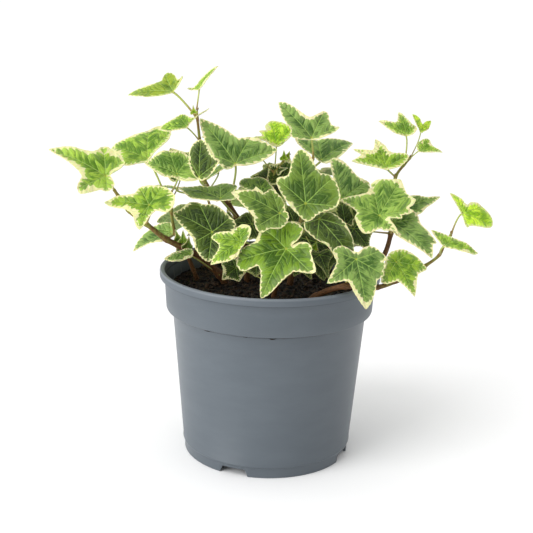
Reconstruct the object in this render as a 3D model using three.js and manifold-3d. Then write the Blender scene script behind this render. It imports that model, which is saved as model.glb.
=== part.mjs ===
// Variegated ivy growing in a round plastic nursery pot.
// Millimetres, +Z up. The origin is the centre of the pot's underside, on the surface it stands on.
// The front of the plant looks along -Y, and +X is to the right of it.
import * as THREE from "three";
import { mergeVertices } from "three/addons/utils/BufferGeometryUtils.js";
import Module from "manifold-3d";

const wasm = await Module();
wasm.setup();

// Clearance between pieces that touch in the real plant.
const GAP = 0.3;
// Corners closer than this are one corner.
const WELD = 1e-3;

// The pot, outside and inside.
const POT = {
  height: 112,
  rimRadius: 65,
  rimInnerRadius: 62,
  lipBottom: 107.4,
  underLipRadius: 62.2,
  collarBottom: 89,
  collarBottomRadius: 61,
  bodyTopRadius: 57.4,
  bodyBottom: 7.3,
  bodyBottomRadius: 50.6,
  footTop: 6.6,
  footRadius: 49.6,
  footTopRadius: 49.8,
  footWall: 2,
  wall: 1.3,
  edge: 0.8,
  shoulder: 1.2,
  floorRound: 1.6,
  recess: 4,
  discRadius: 20,
  discSlope: 1,
  segments: 48,
};

// Four gaps in the foot ring let water out from under the pot.
const FOOT_GAP = { count: 4, first: -22, width: 21, topWidth: 16, height: 4.4, below: 1, depth: 10 };
const DRAIN_HOLE = { count: 8, circle: 40, radius: 1.9, segments: 8 };

// The soil's top is flat near the wall and rises to a low crown in the middle.
const SOIL = { top: 100, crown: 1.6, crownRadius: 44, clearance: 0.4, edge: 0.8, round: 2.4, shoulder: 3 };

// The blade rises midway to its tip by a share of its length.
const LEAF = { thickness: 0.7, arch: 0.07 };
// A stalk leaves the blade backwards and downwards by these shares of its span. Where it runs
// almost along its vine, its start is worked out as if it left at least this steeply (a sine).
const STALK = { radius: 0.7, sides: 5, steps: 4, back: 0.12, under: 0.13, steepness: 0.3 };
const VINE = { sides: 6, stepsPerNode: 2 };

// The edges of ordinary leaves, as [degrees, reach as a share of the tip's] counterclockwise from
// the tip around the stalk.
const EDGES = {
  lobed: [
    [27, 0.56], [54, 0.78], [84, 0.5], [115, 0.56], [150, 0.3], [180, 0.12], [210, 0.3], [245, 0.56],
    [276, 0.5], [306, 0.78], [333, 0.56],
  ],
  arrow: [
    [22, 0.5], [48, 0.42], [75, 0.5], [110, 0.42], [180, 0.12], [252, 0.4], [287, 0.46], [312, 0.42],
    [338, 0.52],
  ],
  broad: [
    [20, 0.74], [38, 0.7], [60, 0.82], [88, 0.62], [118, 0.6], [150, 0.36], [180, 0.14], [212, 0.38],
    [240, 0.58], [272, 0.64], [300, 0.84], [322, 0.7], [340, 0.76],
  ],
};

// The view that the front leaves are read from, which looks at its target from a little above the
// front: degrees and millimetres, and the picture's focal length and centre in pixels.
const VIEW = {
  elevation: 15.4, roll: 1.4, distance: 650, target: [-2.2, 0, 112.6], focal: 1100, centre: 266.5,
};
// How often the rise of an arched edge is worked out anew while a corner is read from the view.
const READINGS = 6;

// Each vine is a list of nodes from its buried end to its tip, with its radius at both ends.
// Each leaf says which node of the vine it grows from, where its stalk meets the blade, where the
// blade's tip is, the azimuth and elevation that its upper face looks to (0, 0 is the front), and
// its edge, which is one of the ordinary ones. A leaf that the view shows is marked as seen: its
// places are [pixels across, pixels down, millimetres along Y], and its edge is a list of corners
// in pixels, counterclockwise from the tip.
const VINES = {
  left: {
    radii: [2.6, 0.9],
    nodes: [
      [-22, 8, 90], [-30, 2, 106.5], [-45.5, -3, 120], [-60.5, -7, 129.5], [-72, -12, 139.5],
      [-81.5, -16, 148], [-87, -18, 157], [-89, -19, 160.5],
    ],
    leaves: [
      { node: 6, seen: true, seat: [105.5, 176, -20], tip: [48.5, 149.5, -19.5], face: [26, 45],
        edge: [[70, 163.5], [81.3, 175], [77, 190.5], [80.5, 194.7], [100, 190], [105, 191.5],
          [110.5, 190.5], [114.3, 185], [110.5, 174.2], [121, 168], [124.3, 163], [114, 151.5],
          [109, 148.5], [104, 147.2], [94, 151.7], [72, 147.8], [60, 147.3]] },
      { node: 4, seen: true, seat: [149, 205.3, -25.5], tip: [104.5, 203, -21], face: [-11, 50],
        edge: [[109.8, 206.6], [127, 210.4], [132.2, 214.3], [136.6, 227.2], [139.4, 230],
          [155.7, 211.4], [168, 211.9], [175.3, 196.6], [161.4, 186], [151.9, 186], [139.4, 187.5],
          [134.6, 194.2], [117, 196.6]] },
      { node: 3, seen: true, seat: [171, 232, 12.5], tip: [133, 251.3, 15], face: [-43, 47],
        edge: [[150, 244], [166, 240.5], [174, 236], [175, 231], [173.5, 226], [170, 223], [155, 226],
          [149, 230], [143, 236.5], [137.5, 243]] },
      { node: 1, seen: true, seat: [190, 254, -12.5], tip: [164, 259, -18], face: [7, 62],
        edge: [[172, 261.5], [180, 261], [188, 258.5], [192, 257], [192, 249], [187, 248.5],
          [180, 250.5]] },
    ],
  },
  left_inner: {
    radii: [1.5, 0.8],
    nodes: [
      [-40, 14, 90], [-50.5, 8, 118], [-56.5, 4, 130.5], [-58.5, 2, 143], [-58, 0, 151.5],
      [-58.5, -1, 156],
    ],
    leaves: [
      { node: 3, seen: true, seat: [147.5, 158.5, 1.5], tip: [111, 148.3, 9.5], face: [-5, 57],
        edge: [[120, 157], [121, 161.5], [124, 165.5], [144, 162.5], [149, 160.5], [152, 156],
          [167.5, 141], [170.5, 136], [171, 132], [163, 126.5], [158, 127], [122, 140.8]] },
      { node: 5, seen: true, seat: [177, 174, -14.5], tip: [144, 162, -11.5], face: [8, 44],
        edge: [[146, 164.5], [166, 177], [173, 177.5], [186, 181.2], [199, 179.5], [196, 172.5],
          [192.5, 170], [194, 167], [190, 164], [191, 160.5], [186, 154], [182, 151.8], [177, 151],
          [160, 152], [148, 160.8]] },
    ],
  },
  crown: {
    radii: [2, 0.8],
    nodes: [
      [-14, 10, 90], [-14, 9, 112], [-16.5, 7, 129.5], [-20.5, 5.5, 140.5], [-25.5, 5.5, 148],
      [-38.5, 8, 159], [-41, 7, 173.5], [-42.5, 6, 185], [-44, 5, 198.5], [-44.5, 5.5, 203],
    ],
    leaves: [
      { node: 8, seen: true, seat: [173, 91.5, 5.5], tip: [128, 95.2, 12], face: [-22, 45],
        edge: [[149.5, 96.8], [171, 93], [175, 90.5], [183, 76.5], [178.5, 80.2], [174, 74.5],
          [170, 72.7], [165.5, 74.3], [160.5, 82], [136, 90.5]] },
      { node: 9, seen: true, seat: [198.5, 89.5, 8.5], tip: [218.4, 66, 4.5], face: [-50, 25],
        edge: [[213, 68.5], [206.5, 74], [200.5, 79.5], [193.5, 87.5], [187, 88.5], [198, 90.2],
          [203, 85]] },
      { node: 7, seen: true, seat: [186.5, 126.5, -5], tip: [158, 128.5, -3], face: [-18, 60],
        edge: [[162, 131], [168, 131.5], [175, 130.2], [187, 128], [188.5, 125.5], [209, 108.3],
          [200, 113.5], [194, 117.5], [189, 116.8], [185, 115], [180, 115.2], [169, 121.8]] },
      { node: 4, seen: true, seat: [235.5, 164, -0.5], tip: [200, 118.5, 11.5], face: [5, 30],
        edge: [[200, 124], [208, 148.5], [221, 166], [226, 169], [232, 168.3], [236, 166], [242, 166.3],
          [258, 163], [277.5, 150], [259, 139.2], [252, 137.3], [238, 138.3], [225, 129]] },
      { node: 5, seen: true, seat: [199, 177, -24.5], tip: [201, 139.3, -17], face: [-5, 20],
        edge: [[196, 141.5], [192, 145.5], [188.5, 158], [192, 171.5], [196, 177.5], [202, 180.5],
          [220, 160.7], [214, 157.5], [210, 152.5], [205, 141.5]] },
      { node: 3, seen: true, seat: [220.5, 198.5, -11], tip: [178, 188, 3], face: [-11, 73],
        edge: [[184, 193.5], [190, 197], [214, 201.3], [221, 201.5], [235.5, 199.5], [234, 192.5],
          [237, 186.3], [229, 184.3], [220, 184.3], [207, 188], [200, 186.5], [192, 187.2],
          [184, 187]] },
      { node: 2, seen: true, seat: [212, 232, -22], tip: [173, 212.5, -17], face: [5, 35],
        edge: [[173.5, 216], [177, 221], [192.5, 238.5], [196, 250], [205, 260.5], [210, 261.3],
          [236, 224.5], [219, 207.5], [212, 204.8], [204, 204.5], [196, 202], [189, 203],
          [179, 210.5]] },
    ],
  },
  centre_back: {
    radii: [1.3, 0.7],
    nodes: [
      [-2, 14, 90], [-5, 12, 120], [-5.5, 12, 141], [-1, 14, 156], [1, 16, 165.5], [5.5, 18, 171.5],
      [10, 20, 177],
    ],
    leaves: [
      { node: 4, seen: true, seat: [276.5, 144.5, 21.5], tip: [271, 121, 33], face: [10, 44],
        edge: [[265, 126.5], [266, 130.5], [259, 131.3], [262, 135.5], [253.5, 137.5], [266, 141.5],
          [272, 145.5], [279, 146.5], [289, 138.5], [292.5, 134], [293, 129.5], [277, 121.3]] },
      { node: 2, seen: true, seat: [262, 192, 1], tip: [239, 184.5, 5], face: [7, 58],
        edge: [[243, 188], [260, 194.5], [270, 197], [278, 197], [271, 185], [262, 177.5], [257, 177],
          [252, 179], [246, 178], [241, 180.5]] },
      { node: 4, seat: [-8, 11, 177], tip: [-20, 18, 184], face: [-5, 45], edge: EDGES.arrow },
    ],
  },
  centre: {
    radii: [2.2, 0.8],
    nodes: [[10, 4, 90], [14, 1, 115], [17, 1, 138], [20, 4, 155.5], [22, 8, 169.5], [23.5, 9, 176]],
    leaves: [
      { node: 2, seen: true, seat: [305.5, 203.5, -30], tip: [299, 149.5, -19], face: [10, 22],
        edge: [[292.3, 159.5], [287, 175.6], [277, 178.2], [276.5, 183], [288.5, 204], [302, 219],
          [306.5, 221.7], [320.5, 212.8], [332.5, 209], [337, 206], [340, 197], [333, 178.3],
          [329, 175], [319.5, 172.7], [308.5, 154], [304, 150.3]] },
      { node: 5, seen: true, seat: [311.5, 138, 4], tip: [278.5, 102.3, 14.5], face: [9, 36],
        edge: [[284.5, 121], [291, 129.5], [290, 134], [293, 137.3], [315, 139.8], [329, 135],
          [335.5, 131.5], [339.5, 127.5], [334, 126.3], [330, 122.5], [327.5, 113.5], [324.5, 111.2],
          [310, 117.7], [290, 104.8], [284, 102.3]] },
      { node: 4, seen: true, seat: [321.5, 160, 13.5], tip: [353, 143, 28], face: [0, 60],
        edge: [[340, 140], [312, 139.5], [295, 138], [297, 143], [302, 148], [318, 160], [322, 162.3],
          [327, 163], [340, 156.5], [347, 150.5]] },
      { node: 3, seen: true, seat: [342, 199, -8], tip: [331.5, 158.5, 6], face: [15, 35],
        edge: [[330.3, 163.5], [333, 177.5], [338, 196], [341, 201.5], [347, 204.5], [356, 203],
          [366, 199], [370, 194], [369, 182.5], [359, 178], [343, 161.5], [337, 158]] },
      { node: 2, seat: [33, -8, 143], tip: [46, -11, 137], face: [20, 40], edge: EDGES.arrow },
    ],
  },
  right: {
    radii: [2, 0.8],
    nodes: [
      [38, 6, 90], [52, 3, 106], [65, 0, 118], [70, -2, 135], [71, 3, 151], [72, 8, 166.5],
      [77, 11, 173.5], [80.5, 12, 177.5],
    ],
    leaves: [
      { node: 4, seen: true, seat: [379.5, 215.5, -22], tip: [401, 180.3, -7.5], face: [0, 40],
        edge: [[394, 179.5], [371, 183.5], [371, 188], [367, 193], [340.5, 199.5], [357, 213],
          [355, 216], [356, 222], [363, 233], [369, 233.5], [380, 229], [384, 230.5], [394, 231],
          [398, 234], [396, 227], [389, 218.5], [402, 218.5], [402, 215], [408, 214], [414, 211],
          [409, 208], [413.5, 205], [416, 200], [407, 194.5]] },
      { node: 4, seen: true, seat: [405, 209, 14], tip: [440.5, 197, 17.5], face: [-13, 49],
        edge: [[427, 197], [413, 195.5], [405, 198], [400, 204], [399, 211], [401, 216], [408, 218],
          [415, 216], [436, 201]] },
      { node: 5, seen: true, seat: [386.5, 168, 3.5], tip: [353.5, 149.3, 12.5], face: [0, 45],
        edge: [[361, 155.5], [351.5, 161.3], [386.5, 169.8], [398, 167.5], [404, 164], [409, 156],
          [405, 153.5], [392, 152.5], [388.5, 151], [385, 146], [375.5, 139.5], [373, 150.3]] },
      { node: 6, seen: true, seat: [406.5, 135.5, 8], tip: [378.5, 121, 12], face: [10, 41],
        edge: [[393, 132], [405, 136], [413, 134], [417, 129.5], [416.5, 126.5], [412, 124], [402, 114],
          [398.5, 112.5], [396.5, 122], [384, 120.5]] },
      { node: 7, seen: true, seat: [421, 131, 22], tip: [412.3, 114, 30], face: [6, 43],
        edge: [[415, 121.5], [417.5, 126], [419, 129.5], [421.3, 132.8], [424, 131.5], [428.5, 129],
          [430.5, 125], [431, 121], [426, 121.5], [423, 124.5], [420, 119], [416, 115.5]] },
      { node: 6, seen: true, seat: [419.5, 150, 9.5], tip: [442.5, 152.3, 9.5], face: [4, 45],
        edge: [[432, 145.5], [429, 139.5], [424, 139.3], [417, 144.5], [419, 151.5]] },
      { node: 2, seat: [48, -1, 137], tip: [57, -8, 126], face: [20, 40], edge: EDGES.broad },
      { node: 3, seen: true, seat: [393, 223, -17.5], tip: [432.5, 258, -32], face: [15, 50],
        edge: [[433, 245], [436.5, 243.5], [420, 223], [418, 217], [413, 211], [406, 210], [398, 213],
          [391, 218], [388, 224], [390, 229], [394, 233.5], [409, 243], [424, 253]] },
    ],
  },
  right_low: {
    radii: [2, 0.8],
    nodes: [
      [14, -24, 90], [26, -36, 106], [41.5, -47, 115.5], [59.5, -40, 113], [71, -34, 115.5],
      [87.5, -26, 122.5], [95.5, -24, 128.5], [99, -22, 136], [102, -20, 139.5],
    ],
    leaves: [
      { node: 2, seen: true, seat: [356, 259, -44], tip: [366, 309.5, -58], face: [15, 32],
        edge: [[371, 303], [374, 296], [377.5, 280], [384, 275], [383, 270], [385, 266], [383, 262],
          [386.5, 259.5], [381, 252], [372, 246.5], [366, 246.8], [357, 252.5], [343, 245.8],
          [338, 246.5], [334, 249], [333, 253], [336.5, 262], [327, 283.5], [347.5, 281.5],
          [356, 296]] },
      { node: 4, seen: true, seat: [396, 262, -35], tip: [415, 296.5, -47.5], face: [14, 42],
        edge: [[418, 275], [427, 269], [411, 253], [400, 250], [390, 253], [387, 257], [381, 282.5],
          [386, 284], [398, 281.5]] },
      { node: 6, seen: true, seat: [444, 246, -32.5], tip: [478, 253.5, -30.5], face: [21, 50],
        edge: [[465, 243], [457, 239], [437, 231.5], [431, 230.5], [441, 244], [446, 247.3],
          [474, 254.5]] },
      { node: 8, seen: true, seat: [462.5, 213, -15], tip: [491.5, 227, -13], face: [25, 35],
        edge: [[492.5, 222], [491, 217], [487, 211], [481, 206], [475, 202.5], [470, 202.5], [467, 205],
          [462, 199.5], [455, 195], [449.5, 193.5], [461, 213], [467, 227.5], [470, 226]] },
    ],
  },
  front: {
    radii: [1.9, 1],
    nodes: [[2, -20, 90], [3, -26, 108], [6, -27, 122], [9, -26, 132]],
    leaves: [
      { node: 2, seen: true, seat: [241, 241, -40], tip: [210.5, 264.8, -45.5], face: [-16, 39],
        edge: [[231, 260], [238, 256], [240, 250.5], [249.5, 237], [251, 232], [250.5, 227.5],
          [246, 225], [240, 225.5], [232.5, 231.5], [222, 232], [215, 234], [211, 237.5],
          [219.5, 246]] },
      { node: 3, seen: true, seat: [279.5, 213.5, -36], tip: [231, 192, -34], face: [20, 45],
        edge: [[250.5, 214], [253.8, 218.5], [254, 224], [256.5, 230], [261, 232.5], [271, 228.3],
          [278.5, 229.3], [288, 220.5], [288, 214.5], [285, 210.5], [284.5, 204], [271, 189],
          [263, 193.5], [255.5, 187], [253, 190.3]] },
      { node: 2, seen: true, seat: [286, 249, -42], tip: [261, 298.8, -58.5], face: [-11, 39],
        edge: [[266, 297], [293, 272.3], [312, 274], [316, 272.5], [311, 253], [312, 248], [308, 243.5],
          [304, 242.5], [291, 246.3], [298, 240], [302, 234], [303, 228.5], [297, 223.5], [285, 222.5],
          [265, 229], [260, 233], [255, 241.5], [243, 248.5], [239, 254], [236.5, 262], [239, 269],
          [243, 271.5], [258.5, 266]] },
      { node: 2, seen: true, seat: [319, 219, -28.5], tip: [352, 262, -39.5], face: [25, 40],
        edge: [[354, 248], [347, 226], [340, 218], [331, 213], [322, 212], [314, 214.5], [304, 226],
          [328, 247.5], [335, 256], [343, 260]] },
      { node: 1, seat: [28, -18, 125], tip: [33, -28, 114], face: [20, 38], edge: EDGES.arrow },
    ],
  },
  back_left: {
    radii: [1.8, 0.8],
    nodes: [[-18, 26, 90], [-26, 36, 112], [-36, 44, 132], [-41, 47, 146]],
    leaves: [
      { node: 2, seat: [-52, 54, 130], tip: [-68, 66, 113], face: [-145, 45], edge: EDGES.broad },
      { node: 3, seat: [-45, 50, 158], tip: [-61, 59, 166], face: [-165, 45], edge: EDGES.arrow },
      { node: 3, seat: [-58, 36, 150], tip: [-80, 40, 150], face: [-120, 55], edge: EDGES.lobed },
    ],
  },
  back_right: {
    radii: [1.8, 0.8],
    nodes: [[22, 28, 90], [32, 40, 113], [39, 45, 132], [41, 44, 142]],
    leaves: [
      { node: 1, seat: [42, 58, 132], tip: [54, 78, 116], face: [155, 40], edge: EDGES.broad },
      { node: 3, seat: [38, 48, 150], tip: [48, 60, 160], face: [150, 40], edge: EDGES.lobed },
      { node: 2, seat: [60, 44, 142], tip: [80, 54, 130], face: [130, 50], edge: EDGES.arrow },
    ],
  },
  back: {
    radii: [1.6, 0.8],
    nodes: [[0, 34, 90], [0, 44, 112], [2, 50, 132], [4, 50, 144], [5, 48, 150]],
    leaves: [
      { node: 2, seat: [-6, 64, 140], tip: [-12, 86, 118], face: [-175, 35], edge: EDGES.lobed },
      { node: 3, seat: [8, 62, 158], tip: [14, 80, 144], face: [170, 45], edge: EDGES.broad },
      { node: 4, seat: [12, 46, 158], tip: [19, 56, 170], face: [170, 35], edge: EDGES.arrow },
    ],
  },
};

const PLASTIC = { color: 0x6d757d, roughness: 0.55 };
const PEAT = { color: 0x2a1f19, roughness: 0.95 };
const BARK = { color: 0x6b5236, roughness: 0.7 };
const LEAVES = [0x6fa545, 0x7fae62, 0x4f8a35, 0x93bf52].map((color) => ({ color, roughness: 0.45 }));

const radians = THREE.MathUtils.degToRad;
const point = (xyz) => new THREE.Vector3(...xyz);

// The view's directions and the place of its eye.
const viewBack = new THREE.Vector3(0, -Math.cos(radians(VIEW.elevation)), Math.sin(radians(VIEW.elevation)));
const viewRight = new THREE.Vector3(1, 0, 0).applyAxisAngle(viewBack, radians(VIEW.roll));
const viewUp = new THREE.Vector3().crossVectors(viewBack, viewRight);
const eye = point(VIEW.target).addScaledVector(viewBack, VIEW.distance);

// Where the line of sight through a pixel meets the plane through a place.
function seen([across, down], place, normal) {
  const sight = viewBack.clone().negate()
    .addScaledVector(viewRight, (across - VIEW.centre) / VIEW.focal)
    .addScaledVector(viewUp, (VIEW.centre - down) / VIEW.focal);
  const distance = place.clone().sub(eye).dot(normal) / sight.dot(normal);
  return eye.clone().addScaledVector(sight, distance);
}

// The place in space of a leaf's seat or tip.
function leafPlace(leaf, end) {
  if (!leaf.seen) return point(leaf[end]);
  const [across, down, depth] = leaf[end];
  return seen([across, down], new THREE.Vector3(0, depth, 0), new THREE.Vector3(0, 1, 0));
}

// A closed geometry as a solid that can be joined and cut.
function solid(geometry) {
  const bare = geometry.clone();
  bare.deleteAttribute("normal");
  bare.deleteAttribute("uv");
  const merged = mergeVertices(bare, WELD);
  return new wasm.Manifold(
    new wasm.Mesh({
      numProp: 3,
      vertProperties: merged.attributes.position.array,
      triVerts: new Uint32Array(merged.index.array),
    }),
  );
}

function geometryOf(made) {
  const { numProp, vertProperties, triVerts } = made.getMesh();
  const places = new Float32Array((vertProperties.length / numProp) * 3);
  for (let i = 0; i < places.length / 3; i++) {
    places.set(vertProperties.subarray(i * numProp, i * numProp + 3), i * 3);
  }
  const geometry = new THREE.BufferGeometry();
  geometry.setAttribute("position", new THREE.BufferAttribute(places, 3));
  geometry.setIndex(new THREE.BufferAttribute(triVerts, 1));
  geometry.computeVertexNormals();
  return geometry;
}

function named(name, geometry, finish) {
  const mesh = new THREE.Mesh(geometry, new THREE.MeshStandardMaterial({ ...finish, metalness: 0 }));
  mesh.name = name;
  return mesh;
}

// A turned shape about +Z from [radius, height] pairs, which run up the outside.
function turned(profile, segments) {
  const points = profile.map(([radius, height]) => new THREE.Vector2(radius, height));
  return new THREE.LatheGeometry(points, segments).rotateX(Math.PI / 2);
}

// A round bar along a curve, whose radius goes evenly from one end to the other.
function bar(curve, startRadius, endRadius, sides, steps) {
  const section = new THREE.Shape();
  for (let i = 0; i < sides; i++) {
    const angle = (i / sides) * 2 * Math.PI;
    const x = startRadius * Math.cos(angle);
    const y = startRadius * Math.sin(angle);
    if (i === 0) section.moveTo(x, y);
    else section.lineTo(x, y);
  }
  const geometry = new THREE.ExtrudeGeometry(section, { steps, extrudePath: curve });
  const centres = curve.getSpacedPoints(steps);
  const position = geometry.attributes.position;
  const vertex = new THREE.Vector3();
  for (let i = 0; i < position.count; i++) {
    vertex.fromBufferAttribute(position, i);
    let nearest = 0;
    centres.forEach((centre, step) => {
      if (centre.distanceToSquared(vertex) < centres[nearest].distanceToSquared(vertex)) nearest = step;
    });
    const radius = THREE.MathUtils.lerp(startRadius, endRadius, nearest / steps);
    vertex.sub(centres[nearest]).multiplyScalar(radius / startRadius).add(centres[nearest]);
    position.setXYZ(i, vertex.x, vertex.y, vertex.z);
  }
  return geometry;
}

// Inner radius of the pot's wall at a height above its shoulder.
function collarInside(height) {
  const share = (height - POT.collarBottom) / (POT.height - POT.collarBottom);
  return THREE.MathUtils.lerp(POT.collarBottomRadius - POT.wall, POT.rimInnerRadius, share);
}

function pot() {
  const { height, edge, wall, recess, discRadius, discSlope, collarBottom, lipBottom } = POT;
  const floor = recess + wall;
  const innerShoulder = collarBottom + POT.shoulder;
  const bodyInside = POT.bodyTopRadius - wall;
  const baseInside = POT.bodyBottomRadius - wall;
  const footInside = POT.footRadius - POT.footWall;
  const profile = [
    [0, 0], [discRadius, 0], [discRadius + discSlope, recess], [footInside, recess],
    [footInside, 0], [POT.footRadius, 0], [POT.footTopRadius, POT.footTop],
    [POT.bodyBottomRadius, POT.bodyBottom], [POT.bodyTopRadius, collarBottom - edge],
    [POT.collarBottomRadius - edge, collarBottom], [POT.collarBottomRadius, collarBottom + edge],
    [POT.underLipRadius, lipBottom - edge], [POT.rimRadius - edge, lipBottom],
    [POT.rimRadius, lipBottom + edge], [POT.rimRadius, height - edge],
    [POT.rimRadius - edge, height], [POT.rimInnerRadius + edge, height],
    [POT.rimInnerRadius, height - edge], [collarInside(innerShoulder), innerShoulder],
    [bodyInside, collarBottom], [baseInside, floor + POT.floorRound],
    [baseInside - POT.floorRound, floor], [discRadius + 2 * discSlope, floor],
    [discRadius + discSlope, wall], [0, wall],
  ];
  let shell = solid(turned(profile, POT.segments));
  for (let i = 0; i < FOOT_GAP.count; i++) {
    shell = shell.subtract(footGap(FOOT_GAP.first + (i * 360) / FOOT_GAP.count));
  }
  for (let i = 0; i < DRAIN_HOLE.count; i++) {
    shell = shell.subtract(drainHole((i * 360) / DRAIN_HOLE.count));
  }
  return named("pot", geometryOf(shell), PLASTIC);
}

// A wedge through the foot ring, narrower at its top. Azimuth 0 is the front.
function footGap(azimuth) {
  const { width, topWidth, height, below, depth } = FOOT_GAP;
  const half = POT.footRadius * Math.tan(radians(width / 2));
  const topHalf = POT.footRadius * Math.tan(radians(topWidth / 2));
  const shape = new THREE.Shape();
  shape.moveTo(-half, -below);
  shape.lineTo(half, -below);
  shape.lineTo(topHalf, height);
  shape.lineTo(-topHalf, height);
  const wedge = new THREE.ExtrudeGeometry(shape, { depth, bevelEnabled: false });
  wedge.translate(0, 0, -depth / 2);
  wedge.rotateX(Math.PI / 2);
  wedge.translate(0, POT.footWall / 2 - POT.footRadius, 0);
  return solid(wedge.rotateZ(radians(azimuth)));
}

function drainHole(azimuth) {
  const { radius, segments, circle } = DRAIN_HOLE;
  const height = 3 * POT.wall;
  const hole = new THREE.CylinderGeometry(radius, radius, height, segments).rotateX(Math.PI / 2);
  hole.translate(0, -circle, POT.recess + POT.wall / 2);
  return solid(hole.rotateZ(radians(azimuth)));
}

// A vine with a little extra radius is the socket that it fills in the soil.
function vineGeometry(vine, extra = 0) {
  const nodes = vine.nodes.map(point);
  if (extra) {
    const down = nodes[0].clone().sub(nodes[1]).normalize();
    nodes[0].addScaledVector(down, extra);
  }
  const curve = new THREE.CatmullRomCurve3(nodes);
  const [start, end] = vine.radii;
  const steps = VINE.stepsPerNode * (nodes.length - 1);
  return bar(curve, start + extra, end + extra, VINE.sides, steps);
}

function soil() {
  const { top, clearance, edge, round } = SOIL;
  const floor = POT.recess + POT.wall + GAP;
  const inside = POT.wall + clearance;
  const shoulder = POT.collarBottom + SOIL.shoulder;
  const baseInside = POT.bodyBottomRadius - inside;
  const profile = [
    [0, floor], [baseInside - round, floor], [baseInside, floor + round],
    [POT.bodyTopRadius - inside, POT.collarBottom], [collarInside(shoulder) - clearance, shoulder],
    [collarInside(top) - clearance - edge, top - edge],
  ];
  for (const share of [1, 0.5, 0]) {
    profile.push([share * SOIL.crownRadius, top + SOIL.crown * (1 - share * share)]);
  }
  let fill = solid(turned(profile, POT.segments));
  for (const vine of Object.values(VINES)) {
    fill = fill.subtract(solid(vineGeometry(vine, GAP)));
  }
  return named("soil", geometryOf(fill), PEAT);
}

// How far a blade has risen at some way from its stalk. Its arch is a parabola, none at the stalk
// and at full length, and full midway.
function rise(way, length) {
  const share = Math.min(way / length, 1);
  return LEAF.arch * length * 4 * share * (1 - share);
}

// The blade's edge as [ahead, left] pairs from its stalk, counterclockwise from the tip.
function bladeEdge(leaf, seat, length, { ahead, left, up }) {
  if (!leaf.seen) {
    return [[0, 1], ...leaf.edge].map(([degrees, reach]) => {
      return [Math.cos(radians(degrees)) * reach * length, Math.sin(radians(degrees)) * reach * length];
    });
  }
  const corners = leaf.edge.map((corner) => {
    let pair = [0, 0];
    for (let i = 0; i < READINGS; i++) {
      const risen = seat.clone().addScaledVector(up, rise(Math.hypot(...pair), length));
      const offset = seen(corner, risen, up).sub(seat);
      pair = [offset.dot(ahead), offset.dot(left)];
    }
    return pair;
  });
  return [[length, 0], ...corners];
}

// The blade's own axes: towards the tip, to the left of it, and up out of the upper face.
function bladeAxes(leaf) {
  const [azimuth, elevation] = leaf.face.map(radians);
  const ahead = leafPlace(leaf, "tip").sub(leafPlace(leaf, "seat")).normalize();
  const up = new THREE.Vector3(
    Math.cos(elevation) * Math.sin(azimuth),
    -Math.cos(elevation) * Math.cos(azimuth),
    Math.sin(elevation),
  );
  up.addScaledVector(ahead, -up.dot(ahead)).normalize();
  return { ahead, up, left: new THREE.Vector3().crossVectors(up, ahead) };
}

// A thin blade: a fan of faces around the stalk above, the same below, and a rim between.
function bladeGeometry(leaf) {
  const seat = leafPlace(leaf, "seat");
  const length = seat.distanceTo(leafPlace(leaf, "tip"));
  const axes = bladeAxes(leaf);
  const { ahead, left, up } = axes;
  const half = LEAF.thickness / 2;
  const ring = bladeEdge(leaf, seat, length, axes).map(([forward, aside]) => {
    return seat.clone()
      .addScaledVector(ahead, forward)
      .addScaledVector(left, aside)
      .addScaledVector(up, rise(Math.hypot(forward, aside), length));
  });
  const lift = (place, height) => place.clone().addScaledVector(up, height);
  const places = [lift(seat, half), lift(seat, -half)];
  ring.forEach((place) => places.push(lift(place, half), lift(place, -half)));
  const faces = [];
  ring.forEach((_, i) => {
    const top = 2 + 2 * i;
    const nextTop = 2 + 2 * ((i + 1) % ring.length);
    faces.push(0, top, nextTop);
    faces.push(1, nextTop + 1, top + 1);
    faces.push(top, top + 1, nextTop + 1);
    faces.push(top, nextTop + 1, nextTop);
  });
  const geometry = new THREE.BufferGeometry().setFromPoints(places);
  geometry.setIndex(faces);
  return geometry;
}

// The stalk goes from under the blade to just short of its vine.
function stalkGeometry(leaf, vine) {
  const last = vine.nodes.length - 1;
  const joint = point(vine.nodes[leaf.node]);
  const before = point(vine.nodes[Math.max(leaf.node - 1, 0)]);
  const after = point(vine.nodes[Math.min(leaf.node + 1, last)]);
  const along = after.sub(before).normalize();
  const vineRadius = THREE.MathUtils.lerp(...vine.radii, leaf.node / last);
  const { ahead, up } = bladeAxes(leaf);
  const seat = leafPlace(leaf, "seat");
  const span = seat.distanceTo(joint);
  const home = joint.clone().sub(seat).normalize();
  const offset = new THREE.Vector3()
    .addScaledVector(ahead, -STALK.back * span)
    .addScaledVector(up, -STALK.under * span);
  // Where the blade is folded over its stalk, the stalk doesn't leave away from its vine.
  offset.addScaledVector(home, Math.max(-offset.dot(home), 0));
  const bend = seat.clone().add(offset);
  const away = bend.clone().sub(joint).normalize();
  const slant = Math.abs(away.dot(along));
  const across = Math.max(Math.sqrt(1 - slant * slant), STALK.steepness);
  let clear = (vineRadius + GAP + STALK.radius * slant) / across;
  // Past the vine's end the stalk starts just beyond its end face.
  const pastEnd = leaf.node === last && away.dot(along) > 0;
  if (pastEnd) clear = Math.min(clear, (GAP + STALK.radius * across) / slant);
  const foot = joint.addScaledVector(away, clear);
  const curve = new THREE.QuadraticBezierCurve3(foot, bend, seat);
  return bar(curve, STALK.radius, STALK.radius, STALK.sides, STALK.steps);
}

function leafMesh(name, leaf, vine, finish) {
  const blade = solid(bladeGeometry(leaf));
  const stalk = solid(stalkGeometry(leaf, vine));
  return named(name, geometryOf(blade.add(stalk)), finish);
}

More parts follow.
